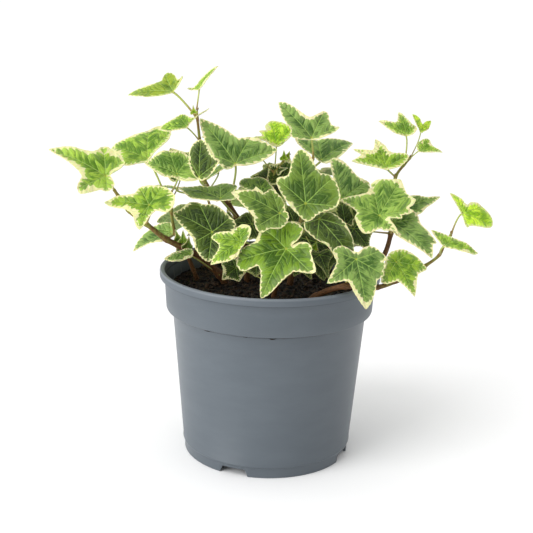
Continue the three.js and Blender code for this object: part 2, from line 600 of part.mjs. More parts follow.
const plant = new THREE.Group();
plant.name = "potted_ivy";
plant.add(pot(), soil());
let leafCount = 0;
for (const [place, vine] of Object.entries(VINES)) {
  plant.add(named(`vine_${place}`, vineGeometry(vine), BARK));
  vine.leaves.forEach((leaf, i) => {
    plant.add(leafMesh(`leaf_${place}_${i + 1}`, leaf, vine, LEAVES[leafCount % LEAVES.length]));
    leafCount += 1;
  });
}

export default plant;
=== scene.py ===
"""A potted variegated ivy: the pot, its soil, the vines and their leaves.

Metres, +Z up. The origin is the centre of the pot's underside, and the front looks along -Y.
The tables are in millimetres. Where a leaf is read from the view, they hold pixels of its picture
and a depth in millimetres.
"""

import math

import bpy
import numpy as np
from mathutils import Matrix, Vector, noise


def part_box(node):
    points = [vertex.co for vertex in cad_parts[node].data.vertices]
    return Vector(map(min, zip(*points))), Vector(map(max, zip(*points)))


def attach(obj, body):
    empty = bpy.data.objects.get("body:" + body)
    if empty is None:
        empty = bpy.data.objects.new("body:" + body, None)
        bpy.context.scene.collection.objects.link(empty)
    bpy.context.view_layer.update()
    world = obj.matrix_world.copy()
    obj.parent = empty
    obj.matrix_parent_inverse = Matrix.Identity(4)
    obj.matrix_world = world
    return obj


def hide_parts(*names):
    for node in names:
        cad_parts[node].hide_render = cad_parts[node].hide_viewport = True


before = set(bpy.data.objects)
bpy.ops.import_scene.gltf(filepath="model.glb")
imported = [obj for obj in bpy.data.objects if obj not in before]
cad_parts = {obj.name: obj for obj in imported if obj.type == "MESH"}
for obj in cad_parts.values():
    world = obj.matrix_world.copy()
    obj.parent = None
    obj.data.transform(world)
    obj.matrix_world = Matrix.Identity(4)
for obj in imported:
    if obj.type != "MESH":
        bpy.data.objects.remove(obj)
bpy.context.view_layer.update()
POT_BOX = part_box("pot")

bl_info = {
    "name": "Potted variegated ivy",
    "version": (1, 0, 0),
    "blender": (4, 5, 0),
    "location": "3D Viewport > Sidebar > Ivy",
    "description": "Builds a potted variegated ivy around its frame",
    "category": "Add Mesh",
}

MM = 0.001

# The pot's profile in millimetres as (radius, height), from the disc under its middle, up the
# outside, over the rim, and down the inside to the floor.
POT_PROFILE = [
    (20, 0), (21, 4), (47.6, 4), (47.6, 0.25), (47.9, 0), (49.4, 0), (49.7, 0.3), (49.8, 6.3),
    (50.5, 6.5), (50.8, 6.9), (50.8, 7.3), (50.6, 7.7), (57.35, 87.7), (57.5, 88.2), (58, 88.4),
    (60.3, 88.6), (60.9, 88.9), (61.15, 89.5), (62.15, 106.7), (62.4, 107.2), (62.9, 107.4),
    (64.2, 107.4), (64.8, 107.6), (65, 108.1), (65, 110.9), (64.8, 111.6), (64.3, 112), (63.7, 111.8),
    (63.1, 112), (62.5, 111.75), (62.1, 111.2), (61.9, 110.4), (59.85, 90.4), (59.3, 89.9),
    (56.8, 89.2), (56.1, 88.4), (49.4, 7.2), (48.9, 5.8), (47.6, 5.3), (22, 5.3), (21, 1.3),
]
POT_SIDES = 144
# Gaps in the foot ring and holes in the floor, in millimetres and degrees from the front: a gap is
# as wide as its bottom and its top, and is cut from below the foot up to its height.
FOOT_GAP = {
    "count": 4, "first": -22, "radius": 48.6, "bottom": 18.6, "top": 14, "height": 4.4,
    "below": -1, "depth": 12,
}
DRAIN_HOLE = {"count": 8, "circle": 40, "radius": 1.9, "middle": 4.6, "depth": 6}

# How a leaf is coloured: how grey and how young its green is, and how light it is. The lightness is
# partly the leaf's own and partly painted light and shade: the sunlit leaves are painted lighter, and
# the shaded, deep and dark ones darker, the darkest standing where there is only shade.
LOOKS = {
    "fresh": (0.0, 0.15, 0.8),
    "bright": (0.2, 0.35, 1.12),
    "sunlit": (0.4, 0.35, 1.32),
    "pale": (0.65, 0.2, 1.12),
    "grey": (0.75, 0.05, 0.98),
    "shaded": (0.6, 0.1, 0.7),
    "core": (0.35, 0.15, 0.68),
    "deep_shade": (0.0, 0.2, 0.26),
    "dark": (0.0, 0.35, 0.17),
    "young": (0.1, 0.8, 1.7),
    "lime": (0.0, 1.0, 1.25),
    "tender": (0.0, 0.95, 0.62),
}

# The edges of ordinary leaves, as (degrees, reach as a share of the tip's) counterclockwise from
# the tip around the stalk.
EDGES = {
    "lobed": [
        (27, 0.56), (54, 0.78), (84, 0.5), (115, 0.56), (150, 0.3), (180, 0.12), (210, 0.3),
        (245, 0.56), (276, 0.5), (306, 0.78), (333, 0.56)],
    "arrow": [
        (22, 0.5), (48, 0.42), (75, 0.5), (110, 0.42), (180, 0.12), (252, 0.4), (287, 0.46),
        (312, 0.42), (338, 0.52)],
    "broad": [
        (20, 0.74), (38, 0.7), (60, 0.82), (88, 0.62), (118, 0.6), (150, 0.36), (180, 0.14),
        (212, 0.38), (240, 0.58), (272, 0.64), (300, 0.84), (322, 0.7), (340, 0.76)],
}

# The view that the front leaves are read from, and the camera's own: degrees and millimetres, and
# the picture's size, focal length and centre in pixels.
VIEW = {
    "tilt": 15.4, "roll": 1.4, "distance": 650, "target": (-2.2, 0, 112.6),
    "width": 533, "focal": 1100, "centre": 266.5,
}
# How far a blade rises midway, as a share of its length, and how often that is worked out anew
# while a corner is read from the view.
BLADE_ARCH = 0.07
READINGS = 6


def unit(vector):
    """The vector with a length of 1."""
    return vector / np.linalg.norm(vector)


def view_axes():
    """The view's directions: right, up, and back to its eye."""
    tilt = math.radians(VIEW["tilt"])
    roll = math.radians(VIEW["roll"])
    back = np.array([0, -math.cos(tilt), math.sin(tilt)])
    level = np.array([1.0, 0, 0])
    upright = np.cross(back, level)
    right = level * math.cos(roll) + upright * math.sin(roll)
    return right, np.cross(back, right), back


def seen(pixel, place, normal):
    """Where the line of sight through a pixel meets the plane through a place."""
    right, up, back = view_axes()
    eye = np.array(VIEW["target"]) + back * VIEW["distance"]
    across, down = ((level - VIEW["centre"]) / VIEW["focal"] for level in pixel)
    sight = right * across - up * down - back
    return eye + sight * ((place - eye) @ normal) / (sight @ normal)


def seen_place(across, down, depth):
    """Where the line of sight through a pixel is at a depth, in millimetres along Y."""
    return seen((across, down), np.array([0.0, depth, 0.0]), np.array([0.0, 1.0, 0.0]))


def blade_axes(seat, tip, face):
    """A blade's directions: ahead to its tip, left, and up out of its upper face."""
    azimuth, elevation = (math.radians(angle) for angle in face)
    ahead = unit(np.subtract(tip, seat))
    flat = math.cos(elevation)
    up = np.array([flat * math.sin(azimuth), -flat * math.cos(azimuth), math.sin(elevation)])
    up = unit(up - ahead * (up @ ahead))
    return ahead, np.cross(up, ahead), up


def blade_rise(way, length):
    """How far a blade has risen at some way from its stalk."""
    part = np.minimum(way / length, 1)
    return BLADE_ARCH * length * 4 * part * (1 - part)


def vine(radii, nodes, leaves):
    """A vine: its radius at both ends, and its nodes from the buried end to the tip."""
    return {"radii": radii, "nodes": nodes, "leaves": leaves}


def leaf(node, seat, tip, face, look, margin, edge):
    """A leaf: the vine's node that it grows from, where its stalk meets the blade, the blade's tip,
    the azimuth and elevation that its upper face looks to, its colouring, its margin's width, and
    its edge: the name of an ordinary one, or (degrees, reach) corners counterclockwise from the tip.
    """
    if isinstance(edge, str):
        edge = [(degrees, part * math.dist(seat, tip)) for degrees, part in EDGES[edge]]
    return {
        "node": node, "seat": seat, "tip": tip, "face": face, "look": look, "margin": margin,
        "edge": edge,
    }


def seen_leaf(node, seat, tip, face, look, margin, edge):
    """A leaf that the view shows. Its seat and tip are (pixels across, pixels down, millimetres
    along Y), and its edge is an ordinary one's name or corners in pixels, counterclockwise from
    the tip.
    """
    seat = seen_place(*seat)
    tip = seen_place(*tip)
    if isinstance(edge, str):
        return leaf(node, seat, tip, face, look, margin, edge)
    ahead, left, up = blade_axes(seat, tip, face)
    length = np.linalg.norm(tip - seat)
    corners = []
    for corner in edge:
        way = 0.0
        for _ in range(READINGS):
            offset = seen(corner, seat + up * blade_rise(way, length), up) - seat
            way = math.hypot(offset @ ahead, offset @ left)
        angle = math.degrees(math.atan2(offset @ left, offset @ ahead))
        corners.append((angle % 360, way))
    return leaf(node, seat, tip, face, look, margin, corners)

# The soil in millimetres: its top, its radius there, and its side down to the pot's floor.
SOIL_TOP = 100
SOIL_RADIUS = 60.5
SOIL_SIDE = [(60.5, 100), (59.5, 91), (58.8, 90.2), (56, 89.6), (55.6, 88), (49.1, 8), (48, 6.6)]
# How far the soil's middle stands above its edge, and how far that edge is rounded off.
SOIL_CROWN = 1.1
SOIL_ROUNDING = 1.6
SOIL_SIDES = 240
# Where the pot's colouring changes, in metres as (from, to): the radius of its wall's inside, and
# the heights of the film dried there with its painted reflections, of the rim's top with its painted
# highlight, and of where the painted shadows under the collar and under the lip begin and end.
INNER_WALL = (0.0608, 0.0616)
FILM_AND_SHEEN_FOOT = (0.098, 0.101)
RIM_TOP = (0.1105, 0.1115)
SHADOWS = [((0.0870, 0.0880), (0.0888, 0.0892)), ((0.1064, 0.1073), (0.1076, 0.1080))]
# How finely the templates are divided: a blade's spokes and rings, and a tube's rings.
SPOKES = 160
RINGS = [1, 0.985, 0.95, 0.9, 0.83, 0.75, 0.67, 0.59, 0.51, 0.43, 0.35, 0.27, 0.19, 0.12, 0.06]
INNER_SPOKES = 72
INNER_RINGS = [1, 0.95, 0.85, 0.7, 0.52, 0.34, 0.17]
STALK_RINGS = 14
VINE_RINGS = 72
# How many steps a smooth line takes between two given points while it is measured.
FINE_STEPS = 24
# The span of a stalk is the straight way from its vine to its blade. It leaves the blade backwards
# and downwards by these shares of that span, but never bends beyond the blade's seat.
STALK_BACK = 0.12
STALK_UNDER = 0.13
# The length in millimetres of a blade that sizes are given for, how far apart its side veins are,
# and how far they slant ahead, as a share of how far they run outward.
BLADE_LENGTH = 30
SIDE_VEIN_GAP = 3.8
SIDE_VEIN_SLANT = 0.9
# How far the edges bulge by the blade's tip, in degrees, and how much more by a short lobe's.
TIP_TURN = 10
LOBE_TURN = 22
# How much lighter a margin is than its blade, up to full light, so that the margins of the darkest
# leaves are painted darker and yellower with their painted shade; and how much of a leaf's youth
# its colour takes on.
MARGIN_LIGHT = 4
MARGIN_YOUTH = 0.3
# A full turn in radians, rounded, for the loose bits of the soil.
FULL_TURN = 6.28
# Where the lights stand and what the fill points at, in metres, and how wide they are: the key
# light in degrees, the fill in metres. Then the floor's size and how far the camera sees, in metres.
SUN_PLACE = (-0.45, -0.55, 1.1)
SUN_ANGLE = 35
FILL_PLACE = (-0.9, -0.7, 0.35)
FILL_TARGET = (0, 0, 0.09)
FILL_SIZE = 0.8
FLOOR_SIZE = 40
FAR_CLIP = 60


VINES = {
    "left": vine(
        radii=(2.6, 0.9),
        nodes=[(-22, 8, 90), (-30, 2, 106.5), (-45.5, -3, 120), (-60.5, -7, 129.5), (-72, -12, 139.5),
            (-81.5, -16, 148), (-87, -18, 157), (-89, -19, 160.5)],
        leaves=[
            seen_leaf(6, (105.5, 176, -20), (48.5, 149.5, -19.5), (26, 45), "sunlit", margin=1.6,
                edge=[(70, 163.5), (81.3, 175), (77, 190.5), (80.5, 194.7), (100, 190), (105, 191.5),
                    (110.5, 190.5), (114.3, 185), (110.5, 174.2), (121, 168), (124.3, 163),
                    (114, 151.5), (109, 148.5), (104, 147.2), (94, 151.7), (72, 147.8), (60, 147.3)]),
            seen_leaf(4, (149, 205.3, -25.5), (104.5, 203, -21), (-11, 50), "bright", margin=1.5,
                edge=[(109.8, 206.6), (127, 210.4), (132.2, 214.3), (136.6, 227.2), (139.4, 230),
                    (155.7, 211.4), (168, 211.9), (175.3, 196.6), (161.4, 186), (151.9, 186),
                    (139.4, 187.5), (134.6, 194.2), (117, 196.6)]),
            seen_leaf(3, (171, 232, 12.5), (133, 251.3, 15), (-43, 47), "grey", margin=0.9,
                edge=[(150, 244), (166, 240.5), (174, 236), (175, 231), (173.5, 226), (170, 223),
                    (155, 226), (149, 230), (143, 236.5), (137.5, 243)]),
            seen_leaf(1, (190, 254, -12.5), (164, 259, -18), (7, 62), "grey", margin=1.0,
                edge=[(172, 261.5), (180, 261), (188, 258.5), (192, 257), (192, 249), (187, 248.5),
                    (180, 250.5)]),
        ],
    ),
    "left_inner": vine(
        radii=(1.5, 0.8),
        nodes=[(-40, 14, 90), (-50.5, 8, 118), (-56.5, 4, 130.5), (-58.5, 2, 143), (-58, 0, 151.5),
            (-58.5, -1, 156)],
        leaves=[
            seen_leaf(3, (147.5, 158.5, 1.5), (111, 148.3, 9.5), (-5, 57), "sunlit", margin=1.5,
                edge=[(120, 157), (121, 161.5), (124, 165.5), (144, 162.5), (149, 160.5), (152, 156),
                    (167.5, 141), (170.5, 136), (171, 132), (163, 126.5), (158, 127), (122, 140.8)]),
            seen_leaf(5, (177, 174, -14.5), (144, 162, -11.5), (8, 44), "pale", margin=1.3,
                edge=[(146, 164.5), (166, 177), (173, 177.5), (186, 181.2), (199, 179.5), (196, 172.5),
                    (192.5, 170), (194, 167), (190, 164), (191, 160.5), (186, 154), (182, 151.8),
                    (177, 151), (160, 152), (148, 160.8)]),
        ],
    ),
    "crown": vine(
        radii=(2, 0.8),
        nodes=[(-14, 10, 90), (-14, 9, 112), (-16.5, 7, 129.5), (-20.5, 5.5, 140.5), (-25.5, 5.5, 148),
            (-38.5, 8, 159), (-41, 7, 173.5), (-42.5, 6, 185), (-44, 5, 198.5), (-44.5, 5.5, 203)],
        leaves=[
            seen_leaf(8, (173, 91.5, 5.5), (128, 95.2, 12), (-22, 45), "tender", margin=0.35,
                edge=[(149.5, 96.8), (171, 93), (175, 90.5), (183, 76.5), (178.5, 80.2), (174, 74.5),
                    (170, 72.7), (165.5, 74.3), (160.5, 82), (136, 90.5)]),
            seen_leaf(9, (198.5, 89.5, 8.5), (218.4, 66, 4.5), (-50, 25), "bright", margin=0.6,
                edge=[(213, 68.5), (206.5, 74), (200.5, 79.5), (193.5, 87.5), (187, 88.5), (198, 90.2),
                    (203, 85)]),
            seen_leaf(7, (186.5, 126.5, -5), (158, 128.5, -3), (-18, 60), "sunlit", margin=0.9,
                edge=[(162, 131), (168, 131.5), (175, 130.2), (187, 128), (188.5, 125.5), (209, 108.3),
                    (200, 113.5), (194, 117.5), (189, 116.8), (185, 115), (180, 115.2), (169, 121.8)]),
            seen_leaf(4, (235.5, 164, -0.5), (200, 118.5, 11.5), (5, 30), "grey", margin=1.2,
                edge=[(200, 124), (208, 148.5), (221, 166), (226, 169), (232, 168.3), (236, 166),
                    (242, 166.3), (258, 163), (277.5, 150), (259, 139.2), (252, 137.3), (238, 138.3),
                    (225, 129)]),
            seen_leaf(5, (199, 177, -24.5), (201, 139.3, -17), (-5, 20), "deep_shade", margin=0.9,
                edge=[(196, 141.5), (192, 145.5), (188.5, 158), (192, 171.5), (196, 177.5),
                    (202, 180.5), (220, 160.7), (214, 157.5), (210, 152.5), (205, 141.5)]),
            seen_leaf(3, (220.5, 198.5, -11), (178, 188, 3), (-11, 73), "shaded", margin=0.8,
                edge=[(184, 193.5), (190, 197), (214, 201.3), (221, 201.5), (235.5, 199.5),
                    (234, 192.5), (237, 186.3), (229, 184.3), (220, 184.3), (207, 188), (200, 186.5),
                    (192, 187.2), (184, 187)]),
            seen_leaf(2, (212, 232, -22), (173, 212.5, -17), (5, 35), "deep_shade", margin=1.1,
                edge=[(173.5, 216), (177, 221), (192.5, 238.5), (196, 250), (205, 260.5), (210, 261.3),
                    (236, 224.5), (219, 207.5), (212, 204.8), (204, 204.5), (196, 202), (189, 203),
                    (179, 210.5)]),
        ],
    ),
    "centre_back": vine(
        radii=(1.3, 0.7),
        nodes=[(-2, 14, 90), (-5, 12, 120), (-5.5, 12, 141), (-1, 14, 156), (1, 16, 165.5),
            (5.5, 18, 171.5), (10, 20, 177)],
        leaves=[
            seen_leaf(4, (276.5, 144.5, 21.5), (271, 121, 33), (10, 44), "young", margin=1.5,
                edge=[(265, 126.5), (266, 130.5), (259, 131.3), (262, 135.5), (253.5, 137.5),
                    (266, 141.5), (272, 145.5), (279, 146.5), (289, 138.5), (292.5, 134), (293, 129.5),
                    (277, 121.3)]),
            seen_leaf(2, (262, 192, 1), (239, 184.5, 5), (7, 58), "core", margin=0.7,
                edge=[(243, 188), (260, 194.5), (270, 197), (278, 197), (271, 185), (262, 177.5),
                    (257, 177), (252, 179), (246, 178), (241, 180.5)]),
            leaf(4, (-8, 11, 177), (-20, 18, 184), (-5, 45), "shaded", margin=0.8, edge="arrow"),
        ],
    ),
    "centre": vine(
        radii=(2.2, 0.8),
        nodes=[(10, 4, 90), (14, 1, 115), (17, 1, 138), (20, 4, 155.5), (22, 8, 169.5), (23.5, 9, 176)],
        leaves=[
            seen_leaf(2, (305.5, 203.5, -30), (299, 149.5, -19), (10, 22), "core", margin=0.9,
                edge=[(292.3, 159.5), (287, 175.6), (277, 178.2), (276.5, 183), (288.5, 204),
                    (302, 219), (306.5, 221.7), (320.5, 212.8), (332.5, 209), (337, 206), (340, 197),
                    (333, 178.3), (329, 175), (319.5, 172.7), (308.5, 154), (304, 150.3)]),
            seen_leaf(5, (311.5, 138, 4), (278.5, 102.3, 14.5), (9, 36), "grey", margin=0.8,
                edge=[(284.5, 121), (291, 129.5), (290, 134), (293, 137.3), (315, 139.8), (329, 135),
                    (335.5, 131.5), (339.5, 127.5), (334, 126.3), (330, 122.5), (327.5, 113.5),
                    (324.5, 111.2), (310, 117.7), (290, 104.8), (284, 102.3)]),
            seen_leaf(4, (321.5, 160, 13.5), (353, 143, 28), (0, 60), "grey", margin=0.8,
                edge=[(340, 140), (312, 139.5), (295, 138), (297, 143), (302, 148), (318, 160),
                    (322, 162.3), (327, 163), (340, 156.5), (347, 150.5)]),
            seen_leaf(3, (342, 199, -8), (331.5, 158.5, 6), (15, 35), "grey", margin=1.0,
                edge=[(330.3, 163.5), (333, 177.5), (338, 196), (341, 201.5), (347, 204.5), (356, 203),
                    (366, 199), (370, 194), (369, 182.5), (359, 178), (343, 161.5), (337, 158)]),
            leaf(2, (33, -8, 143), (46, -11, 137), (20, 40), "dark", margin=0.6, edge="arrow"),
        ],
    ),
    "right": vine(
        radii=(2, 0.8),
        nodes=[(38, 6, 90), (52, 3, 106), (65, 0, 118), (70, -2, 135), (71, 3, 151), (72, 8, 166.5),
            (77, 11, 173.5), (80.5, 12, 177.5)],
        leaves=[
            seen_leaf(4, (379.5, 215.5, -22), (401, 180.3, -7.5), (0, 40), "pale", margin=1.1,
                edge=[(394, 179.5), (371, 183.5), (371, 188), (367, 193), (340.5, 199.5), (357, 213),
                    (355, 216), (356, 222), (363, 233), (369, 233.5), (380, 229), (384, 230.5),
                    (394, 231), (398, 234), (396, 227), (389, 218.5), (402, 218.5), (402, 215),
                    (408, 214), (414, 211), (409, 208), (413.5, 205), (416, 200), (407, 194.5)]),
            seen_leaf(4, (405, 209, 14), (440.5, 197, 17.5), (-13, 49), "grey", margin=1.0,
                edge=[(427, 197), (413, 195.5), (405, 198), (400, 204), (399, 211), (401, 216),
                    (408, 218), (415, 216), (436, 201)]),
            seen_leaf(5, (386.5, 168, 3.5), (353.5, 149.3, 12.5), (0, 45), "bright", margin=1.3,
                edge=[(361, 155.5), (351.5, 161.3), (386.5, 169.8), (398, 167.5), (404, 164),
                    (409, 156), (405, 153.5), (392, 152.5), (388.5, 151), (385, 146), (375.5, 139.5),
                    (373, 150.3)]),
            seen_leaf(6, (406.5, 135.5, 8), (378.5, 121, 12), (10, 41), "sunlit", margin=0.9,
                edge=[(393, 132), (405, 136), (413, 134), (417, 129.5), (416.5, 126.5), (412, 124),
                    (402, 114), (398.5, 112.5), (396.5, 122), (384, 120.5)]),
            seen_leaf(7, (421, 131, 22), (412.3, 114, 30), (6, 43), "lime", margin=0.3,
                edge=[(415, 121.5), (417.5, 126), (419, 129.5), (421.3, 132.8), (424, 131.5),
                    (428.5, 129), (430.5, 125), (431, 121), (426, 121.5), (423, 124.5), (420, 119),
                    (416, 115.5)]),
            seen_leaf(6, (419.5, 150, 9.5), (442.5, 152.3, 9.5), (4, 45), "sunlit", margin=0.8,
                edge=[(432, 145.5), (429, 139.5), (424, 139.3), (417, 144.5), (419, 151.5)]),
            leaf(2, (48, -1, 137), (57, -8, 126), (20, 40), "deep_shade", margin=0.7, edge="broad"),
            seen_leaf(3, (393, 223, -17.5), (432.5, 258, -32), (15, 50), "grey", margin=1.3,
                edge=[(433, 245), (436.5, 243.5), (420, 223), (418, 217), (413, 211), (406, 210),
                    (398, 213), (391, 218), (388, 224), (390, 229), (394, 233.5), (409, 243),
                    (424, 253)]),
        ],
    ),
    "right_low": vine(
        radii=(2, 0.8),
        nodes=[(14, -24, 90), (26, -36, 106), (41.5, -47, 115.5), (59.5, -40, 113), (71, -34, 115.5),
            (87.5, -26, 122.5), (95.5, -24, 128.5), (99, -22, 136), (102, -20, 139.5)],
        leaves=[
            seen_leaf(2, (356, 259, -44), (366, 309.5, -58), (15, 32), "grey", margin=0.9,
                edge=[(371, 303), (374, 296), (377.5, 280), (384, 275), (383, 270), (385, 266),
                    (383, 262), (386.5, 259.5), (381, 252), (372, 246.5), (366, 246.8), (357, 252.5),
                    (343, 245.8), (338, 246.5), (334, 249), (333, 253), (336.5, 262), (327, 283.5),
                    (347.5, 281.5), (356, 296)]),
            seen_leaf(4, (396, 262, -35), (415, 296.5, -47.5), (14, 42), "bright", margin=1.1,
                edge=[(418, 275), (427, 269), (411, 253), (400, 250), (390, 253), (387, 257),
                    (381, 282.5), (386, 284), (398, 281.5)]),
            seen_leaf(6, (444, 246, -32.5), (478, 253.5, -30.5), (21, 50), "sunlit", margin=0.9,
                edge=[(465, 243), (457, 239), (437, 231.5), (431, 230.5), (441, 244), (446, 247.3),
                    (474, 254.5)]),
            seen_leaf(8, (462.5, 213, -15), (491.5, 227, -13), (25, 35), "young", margin=1.0,
                edge=[(492.5, 222), (491, 217), (487, 211), (481, 206), (475, 202.5), (470, 202.5),
                    (467, 205), (462, 199.5), (455, 195), (449.5, 193.5), (461, 213), (467, 227.5),
                    (470, 226)]),
        ],
    ),
    "front": vine(
        radii=(1.9, 1),
        nodes=[(2, -20, 90), (3, -26, 108), (6, -27, 122), (9, -26, 132)],
        leaves=[
            seen_leaf(2, (241, 241, -40), (210.5, 264.8, -45.5), (-16, 39), "bright", margin=0.9,
                edge=[(231, 260), (238, 256), (240, 250.5), (249.5, 237), (251, 232), (250.5, 227.5),
                    (246, 225), (240, 225.5), (232.5, 231.5), (222, 232), (215, 234), (211, 237.5),
                    (219.5, 246)]),
            seen_leaf(3, (279.5, 213.5, -36), (231, 192, -34), (20, 45), "core", margin=0.9,
                edge=[(250.5, 214), (253.8, 218.5), (254, 224), (256.5, 230), (261, 232.5),
                    (271, 228.3), (278.5, 229.3), (288, 220.5), (288, 214.5), (285, 210.5),
                    (284.5, 204), (271, 189), (263, 193.5), (255.5, 187), (253, 190.3)]),
            seen_leaf(2, (286, 249, -42), (261, 298.8, -58.5), (-11, 39), "fresh", margin=0.8,
                edge=[(266, 297), (293, 272.3), (312, 274), (316, 272.5), (311, 253), (312, 248),
                    (308, 243.5), (304, 242.5), (291, 246.3), (298, 240), (302, 234), (303, 228.5),
                    (297, 223.5), (285, 222.5), (265, 229), (260, 233), (255, 241.5), (243, 248.5),
                    (239, 254), (236.5, 262), (239, 269), (243, 271.5), (258.5, 266)]),
            seen_leaf(2, (319, 219, -28.5), (352, 262, -39.5), (25, 40), "deep_shade", margin=0.8,
                edge=[(354, 248), (347, 226), (340, 218), (331, 213), (322, 212), (314, 214.5),
                    (304, 226), (328, 247.5), (335, 256), (343, 260)]),
            leaf(1, (28, -18, 125), (33, -28, 114), (20, 38), "dark", margin=0.5, edge="arrow"),
        ],
    ),
    "back_left": vine(
        radii=(1.8, 0.8),
        nodes=[(-18, 26, 90), (-26, 36, 112), (-36, 44, 132), (-41, 47, 146)],
        leaves=[
            leaf(2, (-52, 54, 130), (-68, 66, 113), (-145, 45), "grey", margin=1.0, edge="broad"),
            leaf(3, (-45, 50, 158), (-61, 59, 166), (-165, 45), "bright", margin=1.2, edge="arrow"),
            leaf(3, (-58, 36, 150), (-80, 40, 150), (-120, 55), "grey", margin=1.1, edge="lobed"),
        ],
    ),
    "back_right": vine(
        radii=(1.8, 0.8),
        nodes=[(22, 28, 90), (32, 40, 113), (39, 45, 132), (41, 44, 142)],
        leaves=[
            leaf(1, (42, 58, 132), (54, 78, 116), (155, 40), "grey", margin=1.2, edge="broad"),
            leaf(3, (38, 48, 150), (48, 60, 160), (150, 40), "core", margin=0.9, edge="lobed"),
            leaf(2, (60, 44, 142), (80, 54, 130), (130, 50), "bright", margin=1.1, edge="arrow"),
        ],
    ),
    "back": vine(
        radii=(1.6, 0.8),
        nodes=[(0, 34, 90), (0, 44, 112), (2, 50, 132), (4, 50, 144), (5, 48, 150)],
        leaves=[
            leaf(2, (-6, 64, 140), (-12, 86, 118), (-175, 35), "bright", margin=1.2, edge="lobed"),
            leaf(3, (8, 62, 158), (14, 80, 144), (170, 45), "grey", margin=1.0, edge="broad"),
            leaf(4, (12, 46, 158), (19, 56, 170), (170, 35), "pale", margin=0.9, edge="arrow"),
        ],
    ),
}

# The small and shaded leaves between the others, by the vine that each grows from.
INNER_LEAVES = {
    "left": [
        seen_leaf(2, (179, 242, -4), (175, 229, -4), (0, 20), "fresh", margin=0.5, edge="arrow"),
        seen_leaf(2, (183, 244, -4), (183, 230, -6), (10, 15), "bright", margin=0.4, edge="arrow"),
        seen_leaf(2, (187, 247, -5), (189, 236, -7), (20, 20), "fresh", margin=0.4, edge="arrow"),
        seen_leaf(2, (181, 248, 0), (172, 240, 0), (-10, 30), "deep_shade", margin=0.5, edge="arrow"),
    ],
    "left_inner": [
        seen_leaf(4, (182, 170, 8), (170, 148, 14), (0, 30), "deep_shade", margin=1.0, edge="broad"),
    ],
    "crown": [
        seen_leaf(2, (252, 224, 2), (238, 241, -3), (-10, 30), "dark", margin=0.6, edge="broad"),
        seen_leaf(3, (232, 226, 10), (227, 208, 12), (0, 20), "deep_shade", margin=0.7, edge="arrow"),
        seen_leaf(9, (194, 113, 5), (193, 105, 5), (0, 15), "lime", margin=0.3, edge="arrow"),
        leaf(6, (-36, 16, 184), (-28, 24, 178), (140, 35), "grey", margin=1.2, edge="lobed"),
        leaf(4, (-24, 22, 152), (-34, 34, 144), (-170, 40), "core", margin=1.2, edge="broad"),
    ],
    "centre_back": [
        seen_leaf(3, (277, 183, 20), (250, 177, 19), (0, 40), "dark", margin=0.7, edge="broad"),
        seen_leaf(4, (281, 180, 16), (290, 158, 20), (10, 25), "deep_shade", margin=0.9, edge="broad"),
        seen_leaf(4, (273, 179, 17), (272, 168, 18), (-10, 20), "deep_shade", margin=0.3, edge="arrow"),
        seen_leaf(5, (284, 159, 18), (284, 150, 18), (0, 15), "lime", margin=0.2, edge="arrow"),
        seen_leaf(5, (287, 157, 19), (290, 151, 19), (15, 15), "lime", margin=0.2, edge="arrow"),
        seen_leaf(4, (278, 171, 16), (288, 168, 15), (0, 35), "deep_shade", margin=0.4, edge="arrow"),
    ],
    "centre": [
        seen_leaf(2, (297, 230, 8), (287, 205, 12), (0, 20), "dark", margin=0.6, edge="broad"),
        seen_leaf(2, (303, 229, -6), (291, 221, -8), (10, 40), "grey", margin=1.0, edge="arrow"),
        seen_leaf(1, (316, 242, -8), (324, 281, -20), (10, 25), "dark", margin=0.8, edge="broad"),
        seen_leaf(2, (314, 249, -24), (317, 241, -25), (0, 20), "lime", margin=0.3, edge="arrow"),
        leaf(3, (30, 20, 166), (42, 32, 160), (150, 40), "grey", margin=1.4, edge="lobed"),
    ],
    "right": [
        seen_leaf(3, (345, 226, 4), (317, 213, 2), (0, 35), "dark", margin=1.5, edge="broad"),
        seen_leaf(3, (351, 231, 6), (369, 247, 4), (5, 40), "deep_shade", margin=1.5, edge="broad"),
        seen_leaf(4, (350, 206, 10), (341, 223, 8), (0, 30), "dark", margin=0.8, edge="lobed"),
    ],
    "front": [
        seen_leaf(1, (236, 268, -8), (222, 280, -12), (-5, 35), "deep_shade", margin=0.8, edge="broad"),
        seen_leaf(1, (256, 262, -10), (239, 271, -14), (0, 30), "dark", margin=1.2, edge="broad"),
        seen_leaf(2, (300, 262, -14), (312, 280, -20), (10, 30), "dark", margin=0.7, edge="lobed"),
    ],
    "back_left": [
        leaf(1, (-34, 44, 122), (-48, 58, 108), (-155, 45), "fresh", margin=1.3, edge="lobed"),
        leaf(3, (-34, 52, 158), (-28, 70, 164), (-175, 40), "bright", margin=1.2, edge="broad"),
    ],
    "back_right": [
        leaf(2, (46, 48, 142), (58, 62, 146), (160, 45), "bright", margin=1.3, edge="lobed"),
        leaf(3, (34, 54, 154), (24, 66, 158), (175, 45), "grey", margin=1.2, edge="arrow"),
    ],
    "back": [
        leaf(2, (8, 60, 150), (20, 76, 144), (165, 45), "fresh", margin=1.4, edge="lobed"),
        leaf(1, (-4, 56, 122), (-14, 72, 110), (-170, 45), "core", margin=1.3, edge="broad"),
    ],
}


def paint(red, green, blue):
    """A colour given as 0 to 255, as the linear values that shaders take."""
    def linear(level):
        """The linear value of one channel."""
        share = level / 255
        return share / 12.92 if share <= 0.04045 else ((share + 0.055) / 1.055) ** 2.4
    return (linear(red), linear(green), linear(blue), 1.0)


def colour(name, description, rgb):
    """A colour property."""
    return bpy.props.FloatVectorProperty(
        name=name, description=description, default=paint(*rgb), size=4, min=0, max=1, subtype="COLOR")


def length(name, description, metres):
    """A length property."""
    return bpy.props.FloatProperty(
        name=name, description=description, default=metres, min=0, unit="LENGTH", precision=5)


